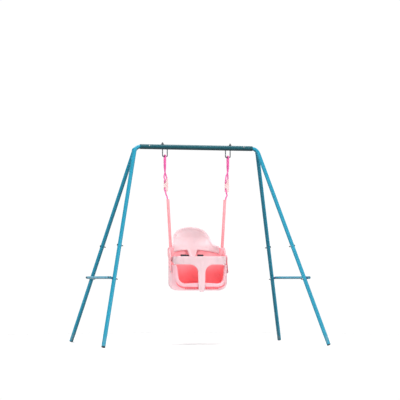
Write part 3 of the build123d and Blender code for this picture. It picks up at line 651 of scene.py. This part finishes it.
# ---------------- weld beads of the rear legs
APEX, REAR_FOOT = np.array([386.0, 0, 1205.0]), np.array([685.0, 499.0, 4.0])
WELD_R, WELD_AROUND = 1.7, 12.3
WELD_DOWN, WELD_SADDLE = 26, 5  # how far down the leg the bead lies, and how much that varies
RIPPLES, RIPPLE_DOWN, RIPPLE_OUT = 24, 0.35, 0.3
for label, side in SIDES:
    apex, foot = APEX * [side, 1, 1], REAR_FOOT * [side, 1, 1]
    down = (foot - apex) / np.linalg.norm(foot - apex)
    u = np.cross(down, [0, 0, 1])
    u /= np.linalg.norm(u)
    v = np.cross(down, u)
    bead = []
    for a in np.linspace(0, 2 * math.pi, 73):
        reach = WELD_DOWN + WELD_SADDLE * math.cos(2 * a) + RIPPLE_DOWN * math.sin(RIPPLES * a)
        radius = WELD_AROUND + RIPPLE_OUT * math.cos(RIPPLES * a)
        bead.append(apex + down * reach + (u * math.cos(a) + v * math.sin(a)) * radius)
    piece(f"weld_{label}", *tube(bead, WELD_R, cap=False), leg_paint, "frame")

# ---------------- ropes: taut, over the hangers' wires
GRIP_TOP, GRIP_FOOT = (181.0, 885.0), (162.5, 570.0)
ADJUSTER_X, ADJUSTER_Z, HANGER_X, BOSS_X = 193.5, 970.0, 200.0, 6.5
CROSSING_X, LOOP_X = 199.3, 196.5
ROPE_D, ROPE_START_Z, ROPE_END_Z = 8.0, 552.6, 991.0


def grip_x(height):
    """X of the right grip's middle line at a height."""
    slope = (GRIP_TOP[0] - GRIP_FOOT[0]) / (GRIP_TOP[1] - GRIP_FOOT[1])
    return GRIP_FOOT[0] + slope * (height - GRIP_FOOT[1])


def rope_route(side):
    """The rope's route in millimetres, as part.py has it."""
    slider, hook = side * ADJUSTER_X, side * HANGER_X
    cross, loop = side * CROSSING_X, side * LOOP_X
    return [
        (side * grip_x(ROPE_START_Z), 0, ROPE_START_Z), (side * grip_x(893), 0, 893),
        (slider + 2.0, -3.0, 909), (slider - 4.5, -8.0, 926),
        (slider - 7.5, -8.4, 941.5), (slider - 7.5, 8.4, 953.5),
        (slider - 7.5, 8.4, 986.5), (slider - 7.5, -8.4, 998.5),
        (slider - 9.5, -8.6, 1008), (loop - 11.5, -7.0, 1021), (loop - 6.5, -6.0, 1038),
        (cross, -4.6, 1056), (hook + 2.6, -6.0, 1085), (hook + 2.2, -7.6, 1118),
        (hook + 2.2, -8.4, 1144), (hook + 2.2, -8.6, 1154.8),
        (hook - 2.2, 8.6, 1154.8), (hook - 2.2, 8.4, 1144),
        (hook - 2.2, 7.6, 1118), (hook - 2.6, 6.0, 1085), (cross, 4.6, 1056),
        (loop + 5.8, 3, 1026), (slider + BOSS_X, 0, 1010), (slider + BOSS_X, 0, ROPE_END_Z),
    ]


def rope_line(name, points):
    """Points of the smooth NURBS line that the route controls, in millimetres."""
    curve = bpy.data.curves.new(name, "CURVE")
    curve.dimensions = "3D"
    spline = curve.splines.new("NURBS")
    spline.points.add(len(points) - 1)
    for point, co in zip(spline.points, points):
        point.co = (co[0] * MM, co[1] * MM, co[2] * MM, 1.0)
    spline.order_u = 3
    spline.use_endpoint_u = True
    curve.resolution_u = 16
    holder = bpy.data.objects.new(name, curve)
    scene.collection.objects.link(holder)
    bpy.context.view_layer.update()
    mesh = bpy.data.meshes.new_from_object(holder)
    line = np.array([v.co for v in mesh.vertices]) / MM
    bpy.data.objects.remove(holder)
    bpy.data.meshes.remove(mesh)
    return line


CARRIERS, BRAID_PITCH, BRAID_STEP = 8, 34.0, 0.85
STRAND_W, STRAND_T, STRAND_SIDES, BRAID_WAVE = 1.3, 0.62, 6, 0.4
BRAID_R = ROPE_D / 2 - 0.5
CORE_STEP = 3.0
KNOT_R, KNOT_Z, KNOT_CORD_R = 5.0, 546.0, 2.6


def braid(line):
    """Sixteen flat strands that pass over and under each other round a core, with UVs along each."""
    p = even(line, BRAID_STEP, closed=False)
    u, v = frames(p)
    along = np.r_[0, np.cumsum(np.linalg.norm(np.diff(p, axis=0), axis=1))]
    verts, faces, uvs = [], [], []
    sides = STRAND_SIDES
    ring = [(math.cos(a), math.sin(a)) for a in np.arange(sides) / sides * 2 * math.pi]
    for turn in (1, -1):
        for k in range(CARRIERS):
            angle = turn * 2 * math.pi * along / BRAID_PITCH + 2 * math.pi * k / CARRIERS
            wave = np.cos(2 * CARRIERS * math.pi * along / BRAID_PITCH)
            radius = BRAID_R + turn * BRAID_WAVE * wave
            out = np.cos(angle)[:, None] * u + np.sin(angle)[:, None] * v
            centre = p + out * radius[:, None]
            flow = np.gradient(centre, axis=0)
            flow /= np.linalg.norm(flow, axis=1)[:, None]
            wide = np.cross(flow, out)
            wide /= np.linalg.norm(wide, axis=1)[:, None]
            first = len(verts)
            for i in range(len(p)):
                for a, b in ring:
                    verts.append(centre[i] + wide[i] * a * STRAND_W + out[i] * b * STRAND_T)
            for i in range(len(p) - 1):
                s0, s1 = along[i] / 10 + k, along[i + 1] / 10 + k  # U counts centimetres
                for j in range(sides):
                    a, b = first + i * sides + j, first + i * sides + (j + 1) % sides
                    faces.append((a, b, b + sides, a + sides))
                    t0, t1 = j / sides, (j + 1) / sides
                    uvs += [(s0, t0), (s0, t1), (s1, t1), (s1, t0)]
            last = len(verts)
            for loop in (range(first + sides - 1, first - 1, -1), range(last - sides, last)):
                faces.append(tuple(loop))
                uvs += [(0, 0)] * sides
    return verts, faces, uvs


def knot_line(side):
    """The closed line of the overhand knot that holds the rope in the bracket's socket."""
    middle = side * grip_x(KNOT_Z)
    return [(KNOT_R * (math.sin(a) + 0.9 * math.sin(2 * a)) / 1.9 + middle,
             KNOT_R * (math.cos(a) - 0.9 * math.cos(2 * a)) / 1.9,
             KNOT_Z - 1.2 - 3.2 * math.sin(3 * a)) for a in np.linspace(0, 2 * math.pi, 72)]


for label, side in SIDES:
    line = rope_line(f"rope_route_{label}", rope_route(side))
    verts, faces, uvs = braid(line)
    mesh = bpy.data.meshes.new(f"rope_braid_{label}")
    mesh.from_pydata([tuple(c * MM for c in v) for v in verts], [], faces)
    layer = mesh.uv_layers.new(name="along")
    layer.data.foreach_set("uv", np.array(uvs, np.float32).ravel())
    mesh.materials.append(rope_mat)
    mesh.shade_smooth()
    rope = bpy.data.objects.new(f"rope_braid_{label}", mesh)
    scene.collection.objects.link(rope)
    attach(rope, "swing")
    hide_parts(f"rope_{label}")
    core = piece(f"rope_core_{label}", *tube(even(line, CORE_STEP, closed=False), BRAID_R - 0.1),
                 core_mat, "swing", "rope_yarn")
    knot = piece(f"rope_stopper_{label}", *tube(knot_line(side), KNOT_CORD_R, cap=False),
                 rope_mat, "swing", "rope_yarn", [f"rope_knot_{label}"])
    knot.data.uv_layers.new(name="along")

# ---------------- plan outlines of the seat's walls
def ellipse_arc(cx, cy, rx, ry, start, stop, number=60):
    """Points along part of an ellipse, between two angles in degrees."""
    angles = np.radians(np.linspace(start, stop, number))
    return [(cx + rx * math.cos(a), cy + ry * math.sin(a)) for a in angles]


class Plan:
    """Half a plan outline, walked from its middle; its mirror image is at negative s."""

    def __init__(self, half):
        self.p = even(half, 0.5, closed=False)
        flow = np.gradient(self.p, axis=0)
        flow /= np.linalg.norm(flow, axis=1)[:, None]
        self.n = np.stack([flow[:, 1], -flow[:, 0]], axis=1)
        self.n[0] = (0, round(self.n[0][1]))
        self.s = np.r_[0, np.cumsum(np.linalg.norm(np.diff(self.p, axis=0), axis=1))]
        self.length = self.s[-1]

    def at(self, s, offset):
        """X and Y of points at arc length s, moved sideways by an offset."""
        a = np.abs(s)
        x, y = (np.interp(a, self.s, self.p[:, k]) + offset * np.interp(a, self.s, self.n[:, k])
                for k in (0, 1))
        return x * np.where(np.asarray(s) < 0, -1, 1), y

    def where(self, test):
        """First arc length at which a test of (x, y) holds."""
        return self.s[np.argmax(test(self.p[:, 0], self.p[:, 1]))]

    def wall(self, shift):
        """A place() for plate(): flat (s, z) to space, with offsets counted from a shifted wall."""
        def place(s, z, offset):
            x, y = self.at(s, offset + shift)
            return np.stack([x, y, z + 0 * x], axis=1)
        return place


def front_half(half, front, flat, corner):
    """A flat front that turns round an elliptical corner into the side."""
    turn = ellipse_arc(flat, corner - front, half - flat, corner, -90, 0)
    return [(0, -front), (flat, -front), *turn]


SEAT_HALF, SEAT_FRONT, SEAT_REAR = 175, 117, 128
GUARD_HALF, GUARD_FRONT, GUARD_END = 165, 130, 20
seat = Plan(front_half(SEAT_HALF, SEAT_FRONT, flat=110, corner=55) + [(SEAT_HALF, 0)]
            + ellipse_arc(0, 0, SEAT_HALF, SEAT_REAR, 0, 90))
guard = Plan(front_half(GUARD_HALF, GUARD_FRONT, flat=100, corner=52) + [(GUARD_HALF, GUARD_END)])


def ease(t):
    """Smooth step from 0 to 1, level at both ends."""
    t = np.clip(t, 0, 1)
    return t * t * (3 - 2 * t)


# ---------------- seat shell and liner: thin cups
S_LOW = seat.where(lambda x, y: x >= 137)   # the leg opening's side, at its foot
S_EDGE = seat.where(lambda x, y: x >= 152)  # and at its top
S_SIDE = seat.where(lambda x, y: y >= 10)   # the top edge starts to climb to the back
S_REAR = seat.where(lambda x, y: y >= 74)   # and has reached its full height
SIDE_Z, REAR_Z = 481.0, 580.0
BEND_FROM, BEND_OVER = 118, 48
OPENING_RADII = [0, 500, 44, 12]
COLUMN_GAP, TOP_GAP, FILL_GAP = 4.5, 5.0, 6.5
CLIMB_STEPS, SEAM_STEPS, BEND_STEPS, ROLL_STEPS = 24, 32, 15, 9
FLOOR_RINGS = (0.94, 0.9, 0.86, 0.6, 0.35, 0.12)
PAN_EDGE, PAN_WIDTH = 0.97, 0.12  # as shares of the way out from the floor's middle


def cup(shift, thick, base_z, front_bend, side_bend, drop, lip, roll, pan, holes=()):
    """A cup on the seat's plan: rounded bottom, raised back, leg opening in front, rolled edge."""
    side_z, rear_z = SIDE_Z - drop, REAR_Z - drop

    def bend(s):
        """Width and height of the rounded bottom edge, larger at the sides than in front."""
        t = ease((np.abs(s) - BEND_FROM) / BEND_OVER)
        return [a + (b - a) * t for a, b in zip(front_bend, side_bend)]

    climb = [(s, side_z + (rear_z - side_z) * ease((s - S_SIDE) / (S_REAR - S_SIDE)))
             for s in np.linspace(S_SIDE, S_REAR, CLIMB_STEPS)]
    points = [(-S_LOW, lip - 6), (0, lip + 1), (S_LOW, lip - 6), (S_EDGE, side_z), *climb,
              (seat.length, rear_z)]
    corner = rounded(points, OPENING_RADII + [0] * (len(climb) + 1), step=7, closed=False)
    top_right = even(corner[corner[:, 0] >= 0], TOP_GAP, closed=False)
    top_right[0, 0] = 0.0
    top = np.vstack([top_right[::-1], top_right[1:] * [-1, 1]])
    columns = int(round(2 * seat.length / COLUMN_GAP))
    along = np.linspace(-seat.length, seat.length, columns + 1)
    wide, tall = bend(along)
    bottom = np.stack([along, base_z + tall], axis=1)
    rows = np.linspace(rear_z, bottom[0, 1], SEAM_STEPS)[1:-1]
    seam = np.array([(-seat.length, z) for z in rows])
    contour = np.vstack([top, seam, bottom, seam[::-1] * [-1, 1]])
    flat, tris = fill([contour] + [np.array(h)[::-1] for h in holes], FILL_GAP)
    place = seat.wall(shift)
    verts, faces, starts = [], [], []
    for offset in (0.0, -thick):
        start = len(verts)
        starts.append(start)
        verts += list(place(flat[:, 0], flat[:, 1], np.full(len(flat), offset)))
        faces += [tuple(start + i for i in t) for t in tris]
        # the rounded bottom, row by row, then the flat floor drawn in to the middle
        first = start + len(top) + len(seam)
        row = list(range(first, first + columns + 1))
        floor_z = base_z - offset
        section = [(wide - (wide + offset) * math.cos(a),
                    base_z + tall - (tall + offset) * math.sin(a), 1.0)
                   for a in np.radians(np.linspace(0, 90, BEND_STEPS)[1:])]
        section += [(wide, floor_z + pan * float(ease((PAN_EDGE - k) / PAN_WIDTH)) + 0 * wide, k)
                    for k in FLOOR_RINGS]
        for inset, z, k in section:
            x, y = seat.at(along, shift - inset)
            new = list(range(len(verts), len(verts) + columns + 1))
            verts += [(a * k, b * k, c) for a, b, c in zip(x, y, z)]
            faces += [(row[i], row[i + 1], new[i + 1], new[i]) for i in range(columns)]
            row = new
        verts.append((0, 0, z[0]))
        faces += [(row[i], row[i + 1], len(verts) - 1) for i in range(columns)]
    # the rolled edge over the top, down the opening's sides and along its lip
    flow = np.gradient(top, axis=0)
    flow /= np.linalg.norm(flow, axis=1)[:, None]
    out = np.stack([flow[:, 1], -flow[:, 0]], axis=1)
    out[0] = out[-1] = (0, 1)
    loops = [[starts[0] + i for i in range(len(top))]]
    for a in np.linspace(0, math.pi, ROLL_STEPS)[1:-1]:
        ring = top + out * (thick / 2 + roll) * math.sin(a)
        offset = -thick / 2 + (thick / 2 + roll * math.sin(a)) * math.cos(a)
        loops.append(list(range(len(verts), len(verts) + len(top))))
        verts += list(place(ring[:, 0], ring[:, 1], np.full(len(top), offset)))
    loops.append([starts[1] + i for i in range(len(top))])
    for a, b in zip(loops, loops[1:]):
        faces += [(a[i], a[i + 1], b[i + 1], b[i]) for i in range(len(top) - 1)]
    count = len(contour)
    for h in holes:
        a, b, around = starts[0] + count, starts[1] + count, len(h)
        faces += [(a + i, a + (i + 1) % around, b + (i + 1) % around, b + i) for i in range(around)]
        count += around
    return verts, faces


shell = cup(shift=0.0, thick=3.0, base_z=327.0, front_bend=(36.0, 36.0), side_bend=(52.0, 48.0),
            drop=0.0, lip=371.0, roll=1.2, pan=2.0)
piece("shell_cup", *shell, cup_mat, "swing", "shell_plastic", ["seat_shell"])

HARNESS_S = seat.length - 56 * 1.02
HARNESS_Z = 543.5
harness_slots = [even(rounded(box(s, HARNESS_Z, 20, 5.5), 3), 2.5) for s in (-HARNESS_S, HARNESS_S)]
liner = cup(shift=-3.6, thick=3.0, base_z=345.0, front_bend=(18.0, 18.0), side_bend=(40.0, 32.0),
            drop=2.0, lip=370.0, holes=harness_slots, roll=0.5, pan=4.0)
piece("liner_cup", *liner, liner_mat, "swing", "liner_plastic", ["seat_liner"])

# painted shade: black sheets behind the harness slots stand in for the dark inside them; the left one
# ends in a flap along the liner, a painted shadow line
for label, s in (("left", -HARNESS_S), ("right", HARNESS_S)):
    pad = rounded(box(s, HARNESS_Z, 22, 8), 2)
    parts = [plate(even(pad, 2), [], seat.wall(-3.3), thick=0.5, edge=0.2, gap=3)]
    if label == "left":
        flap = rounded([(s + 15, 539), (s + 15, 548), (s - 46, 545.5), (s - 46, 533)], 1.5)
        parts.append(plate(even(flap, 2), [], seat.wall(-7.6), thick=1.4, edge=0.5, gap=3))
    piece(f"slot_shade_{label}", *join(parts), dark_plug, "swing")

# ---------------- front rim and the strip under it
RIM_W, RIM_TOP, RIM_LOW, LIP_SIDE, LIP_MIDDLE = 19.0, 483, 350, 366, 373
TOP_IN, LOW_IN = S_EDGE - 1, S_LOW - 1
rim = rounded([(-TOP_IN - RIM_W, RIM_TOP), (-LOW_IN - RIM_W, RIM_LOW), (0, RIM_LOW),
               (LOW_IN + RIM_W, RIM_LOW), (TOP_IN + RIM_W, RIM_TOP), (TOP_IN, RIM_TOP),
               (LOW_IN, LIP_SIDE), (0, LIP_MIDDLE), (-LOW_IN, LIP_SIDE), (-TOP_IN, RIM_TOP)],
              [7, 60, 900, 60, 7, 7, 44, 600, 44, 7], step=5)


def rim_relief(s, z, depth):
    return 0.6 * ease(depth / 6)


rim_mesh = plate(even(rim, 3.0), [], seat.wall(2.9), thick=4.6, edge=2.3, gap=3.6, relief=rim_relief)
piece("opening_rim", *rim_mesh, cup_mat, "swing", "shell_plastic", ["front_rim"])

STRIP_OUT, STRIP_IN = LOW_IN + RIM_W + 1, LOW_IN + 6
STRIP_TOP, STRIP_LOW, STRIP_LIP = 440, 341, 358
strip = rounded([(-STRIP_OUT - 6, STRIP_TOP), (-STRIP_OUT, STRIP_LOW),
                 (STRIP_OUT, STRIP_LOW), (STRIP_OUT + 6, STRIP_TOP),
                 (STRIP_IN + 13, STRIP_TOP), (STRIP_IN, STRIP_LIP),
                 (-STRIP_IN, STRIP_LIP), (-STRIP_IN - 13, STRIP_TOP)],
                [1, 60, 60, 1, 1, 44, 44, 1], step=5)
strip_mesh = plate(even(strip, 2.0), [], seat.wall(1.5), thick=2.2, edge=0.8, gap=3.0)
piece("toothed_strip", *strip_mesh, strip_mat, "swing", "liner_plastic", ["liner_skirt"])

TOOTH_PITCH, TOOTH_COUNT, TOOTH_TOP, TOOTH_TIP = 11.0, 19, 345, 334
teeth = []
for k in range(TOOTH_COUNT):
    s = (k - (TOOTH_COUNT - 1) / 2) * TOOTH_PITCH
    tooth = rounded([(s - 3.8, TOOTH_TOP), (s - 3.2, TOOTH_TIP),
                     (s + 3.2, TOOTH_TIP), (s + 3.8, TOOTH_TOP)], 1.2)
    teeth.append(plate(even(tooth, 0.9), [], seat.wall(2.1), thick=2.4, edge=0.5, gap=2.0))
piece("strip_teeth", *join(teeth), shaded_teeth_mat, "swing", "liner_plastic")

# ---------------- backrest: a leaning curved plate
LEAN = math.radians(13)
BACK_HALF, BACK_BULGE = 154.5, 108.5   # the ellipse that its plan follows
BACK_Y, BACK_Z = -10, 540              # the line that it leans about
FLATTEN, TILT_BACK = 42, 18            # how far its sides, and then all of it, bend back higher up
back = Plan(ellipse_arc(0, 0, BACK_HALF, BACK_BULGE, 90, 0, 200))


def back_place(s, z, offset):
    """Flat (s, z) on the backrest to space; it flattens out as it rises above the shell."""
    a, b = back.at(s, offset)
    t = np.clip(np.abs(a) / BACK_HALF, 0, 1)
    b = b + FLATTEN * t**2 * (1 - t**6) * ease((z - 585) / 80)
    c = (z - BACK_Z + b * math.sin(LEAN)) / math.cos(LEAN)
    y = BACK_Y + b * math.cos(LEAN) + c * math.sin(LEAN) + TILT_BACK * ease((z - 570) / 90)
    return np.stack([a, y, z + 0 * a], axis=1)


def back_s(x):
    """Arc length on the backrest's plan at an X, with its sign."""
    return np.interp(abs(x), back.p[:, 0], back.s) * (1 if x >= 0 else -1)


def back_relief(s, z, depth):
    """A raised border 9 mm wide, and a shallow dish inside it."""
    return 1.3 * ease(depth / 2.5) - 1.7 * ease((depth - 9) / 3.5)


dome = smooth_line([(0, 722), (41, 717), (79, 704), (102, 682), (117, 655), (126, 629), (132, 612),
                    (151, 602)], 8)
half = [*dome, (151, 551), (122, 563), (80, 571), (33, 577), (18, 532), (0, 517)]
radii = [0] * (len(dome) - 1) + [7, 7, 30, 60, 9, 14, 0]
half = rounded(half, radii, step=8, closed=False)
outline = np.vstack([half[::-1], half[1:-1] * [-1, 1]])
outline = even([(back_s(x), z) for x, z in outline], 3.5)
back_mesh = plate(outline, [], back_place, thick=6.4, edge=3.0, gap=4.5, relief=back_relief)
piece("back_dome", *back_mesh, shell_mat, "swing", "shell_plastic", ["backrest"])

# ---------------- T-bar guard
PIVOT = (-38.0, 520.0)  # Y and Z of the axis that the T-bar lifts about
S_END = guard.where(lambda x, y: (x > 160) & (y >= PIVOT[0])) + 15
S_TAPER = guard.where(lambda x, y: (x > 120) & (y >= -85))
BAR_TOP, BAR_END_LOW, BAR_LOW, POST_FOOT = 535, 505, 485, 318
bar = rounded([(-S_END, BAR_TOP), (-S_END, BAR_END_LOW), (-S_TAPER, BAR_LOW), (-24, BAR_LOW),
               (-19.5, POST_FOOT), (19.5, POST_FOOT),
               (24, BAR_LOW), (S_TAPER, BAR_LOW), (S_END, BAR_END_LOW), (S_END, BAR_TOP)],
              [14.9, 14.9, 60, 50, 19, 19, 50, 60, 14.9, 14.9], step=5)


def bar_relief(s, z, depth):
    """Crowned across, with a low spine down the post that fades into the band."""
    spine = 0.9 * np.exp(-(s / 8.0) ** 2) * ease((520 - z) / 30)
    return 0.9 * ease(depth / 12) + spine


bar_mesh = plate(even(bar, 3.5), [], guard.wall(-3.5), thick=7.0, edge=2.4, gap=4.5, relief=bar_relief)
piece("guard_t_bar", *bar_mesh, shell_mat, "guard", "shell_plastic", ["t_bar_guard"])


# ---------------- side brackets and adjusters
OUTLINE_GAP = 2.0


def hull_of(circles):
    """Outline around circles given as (a, b, radius)."""
    pts = sorted({(a + r * math.cos(t), b + r * math.sin(t)) for a, b, r in circles
                  for t in np.linspace(0, 2 * math.pi, 60, endpoint=False)})
    ends = []
    for order in (pts, pts[::-1]):
        chain = []
        for p in order:
            while len(chain) > 1:
                (x0, y0), (x1, y1) = chain[-2:]
                if (x1 - x0) * (p[1] - y0) - (y1 - y0) * (p[0] - x0) > 0:
                    break
                chain.pop()
            chain.append(p)
        ends += chain[:-1]
    return even(ends, OUTLINE_GAP)


def moulded_piece(name, parts, voxel, passes, *rest):
    """One skin over overlapping closed parts, softened as moulded corners are."""
    obj = piece(name, *join(parts), *rest, smooth=None)
    skin = obj.modifiers.new("skin", "REMESH")
    skin.mode = "VOXEL"
    skin.voxel_size = voxel * MM
    skin.use_smooth_shade = True
    soften = obj.modifiers.new("soften", "CORRECTIVE_SMOOTH")
    soften.iterations = passes
    soften.use_only_smooth = True
    soften.factor = 0.5
    bpy.context.view_layer.update()
    evaluated = obj.evaluated_get(bpy.context.evaluated_depsgraph_get())
    mesh = bpy.data.meshes.new_from_object(evaluated)
    obj.modifiers.clear()
    old, obj.data = obj.data, mesh
    bpy.data.meshes.remove(old)


def across(side, middle):
    """A place() for a plate that lies in the seat's side: flat (y, z), offsets away from the middle."""
    return lambda y, z, offset: np.stack([side * (middle + offset), y, z], axis=1)


def circle(a, b, r):
    angles = np.linspace(0, 2 * math.pi, 90)[:-1]
    return even([(a + r * math.cos(t), b + r * math.sin(t)) for t in angles], OUTLINE_GAP)


def boss_relief(y, z, depth):
    """A round recess with a raised cap in its middle."""
    r = np.hypot(y - PIVOT[0], z - PIVOT[1])
    return -1.8 * ease((19 - r) / 2.0) + 1.7 * ease((9 - r) / 1.6)


def arm_relief(y, z, depth):
    """A sunken web inside a raised border."""
    return -1.2 * ease((depth - 4.5) / 1.5)


SOCKET_X, SOCKET_Z, SOCKET_TALL, SOCKET_BORE_X, SOCKET_BORE_R = 162.3, 563.5, 53, 163.0, 9.8
BOSS_MID, HUB_MID, ARM_MID, NECK_MID = 177.4, 171.2, 177.6, 173.8  # X of the bracket's layers
SLOT_X, SLOT_Z = -7.4, 22.5  # the adjuster's two rope slots, from its middle


def socket_place(x, y, offset):
    """A place() for the level block round a grip's foot."""
    return np.stack([x, y, SOCKET_Z + offset], axis=1)


def slider_place(x, z, offset):
    """A place() for an adjuster, which hangs facing the front."""
    return np.stack([x, offset, z], axis=1)


def arm(side, hub_r, end):
    """A flat arm from the pivot to the round end given as (y, z, radius)."""
    outline = hull_of([(*PIVOT, hub_r), end])
    return plate(outline, [], across(side, ARM_MID), thick=4.2, edge=1.2, gap=3, relief=arm_relief)


for label, side in SIDES:
    socket = even(rounded(box(side * SOCKET_X, 0, 16, 17), 6), OUTLINE_GAP)
    bore = circle(side * SOCKET_BORE_X, 0, SOCKET_BORE_R)
    neck = hull_of([(*PIVOT, 18), (0, 573, 17), (4, 547, 12)])
    parts = [
        plate(circle(*PIVOT, 27), [], across(side, BOSS_MID), thick=7.2, edge=3.4, gap=3,
              relief=boss_relief),
        plate(circle(*PIVOT, 15), [], across(side, HUB_MID), thick=8.6, edge=1.0, gap=3),
        arm(side, 23, (-74, 441, 10)),
        arm(side, 21, (-24, 470, 9)),
        plate(neck, [], across(side, NECK_MID), thick=11.6, edge=3, gap=3),
        plate(socket, [bore], socket_place, SOCKET_TALL, edge=1.6, gap=2.0),
    ]
    moulded_piece(f"bracket_{label}", parts, 1.3, 6, coral_mat, "swing", "liner_plastic",
                  [f"side_bracket_{label}"])

    slider_x = side * ADJUSTER_X
    rope_slots = [even(rounded(box(slider_x + SLOT_X, z, 4.6, 10.4), 4.5), 1.5)
                  for z in (ADJUSTER_Z + SLOT_Z, ADJUSTER_Z - SLOT_Z)]
    shape = even(rounded(box(slider_x, ADJUSTER_Z, 13.5, 41), 13.4), 1.5)
    rope_end = [(0, 0), (0, 5.5), (1.5, 7), (30, 7), (31, 6.4), (31, 5.4), (30, 4.9), (10.7, 4.9),
                (10.7, 0)]
    parts = [
        plate(shape, rope_slots, slider_place, thick=8.0, edge=0.4, gap=1.5),
        lathe((slider_x + BOSS_X, 0, 980), (0, 0, 1), rope_end, 32),
    ]
    moulded_piece(f"slider_{label}", parts, 0.5, 7, adjuster_mat, "swing", "adjuster_plastic",
                  [f"rope_adjuster_{label}"])

    low, high = (np.array([side * x, 0, z]) for x, z in (GRIP_FOOT, GRIP_TOP))
    size = float(np.linalg.norm(high - low))
    profile = [(0, 5.6), (0, 8.2), (0.8, 9.0), (size - 1.6, 9.0), (size - 0.5, 8.6), (size, 7.6),
               (size, 6.2), (size - 1.2, 5.6)]
    piece(f"grip_{label}", *lathe(low, high - low, profile, 40), grip_mat, "swing", "grip_plastic",
          [f"grip_tube_{label}"])

# ---------------- floor
FLOOR_RADII, AROUND = (600, 1200, 1800, 2400), 96
floor_verts = [(r * math.cos(t), r * math.sin(t), 0) for r in FLOOR_RADII
               for t in np.linspace(0, 2 * math.pi, AROUND, endpoint=False)] + [(0, 0, 0)]
floor_faces = [(k + i, k + (i + 1) % AROUND, k + AROUND + (i + 1) % AROUND, k + AROUND + i)
               for k in range(0, AROUND * (len(FLOOR_RADII) - 1), AROUND) for i in range(AROUND)]
floor_faces += [(i, (i + 1) % AROUND, len(floor_verts) - 1) for i in range(AROUND)]
floor = piece("floor", floor_verts, floor_faces, floor_mat)
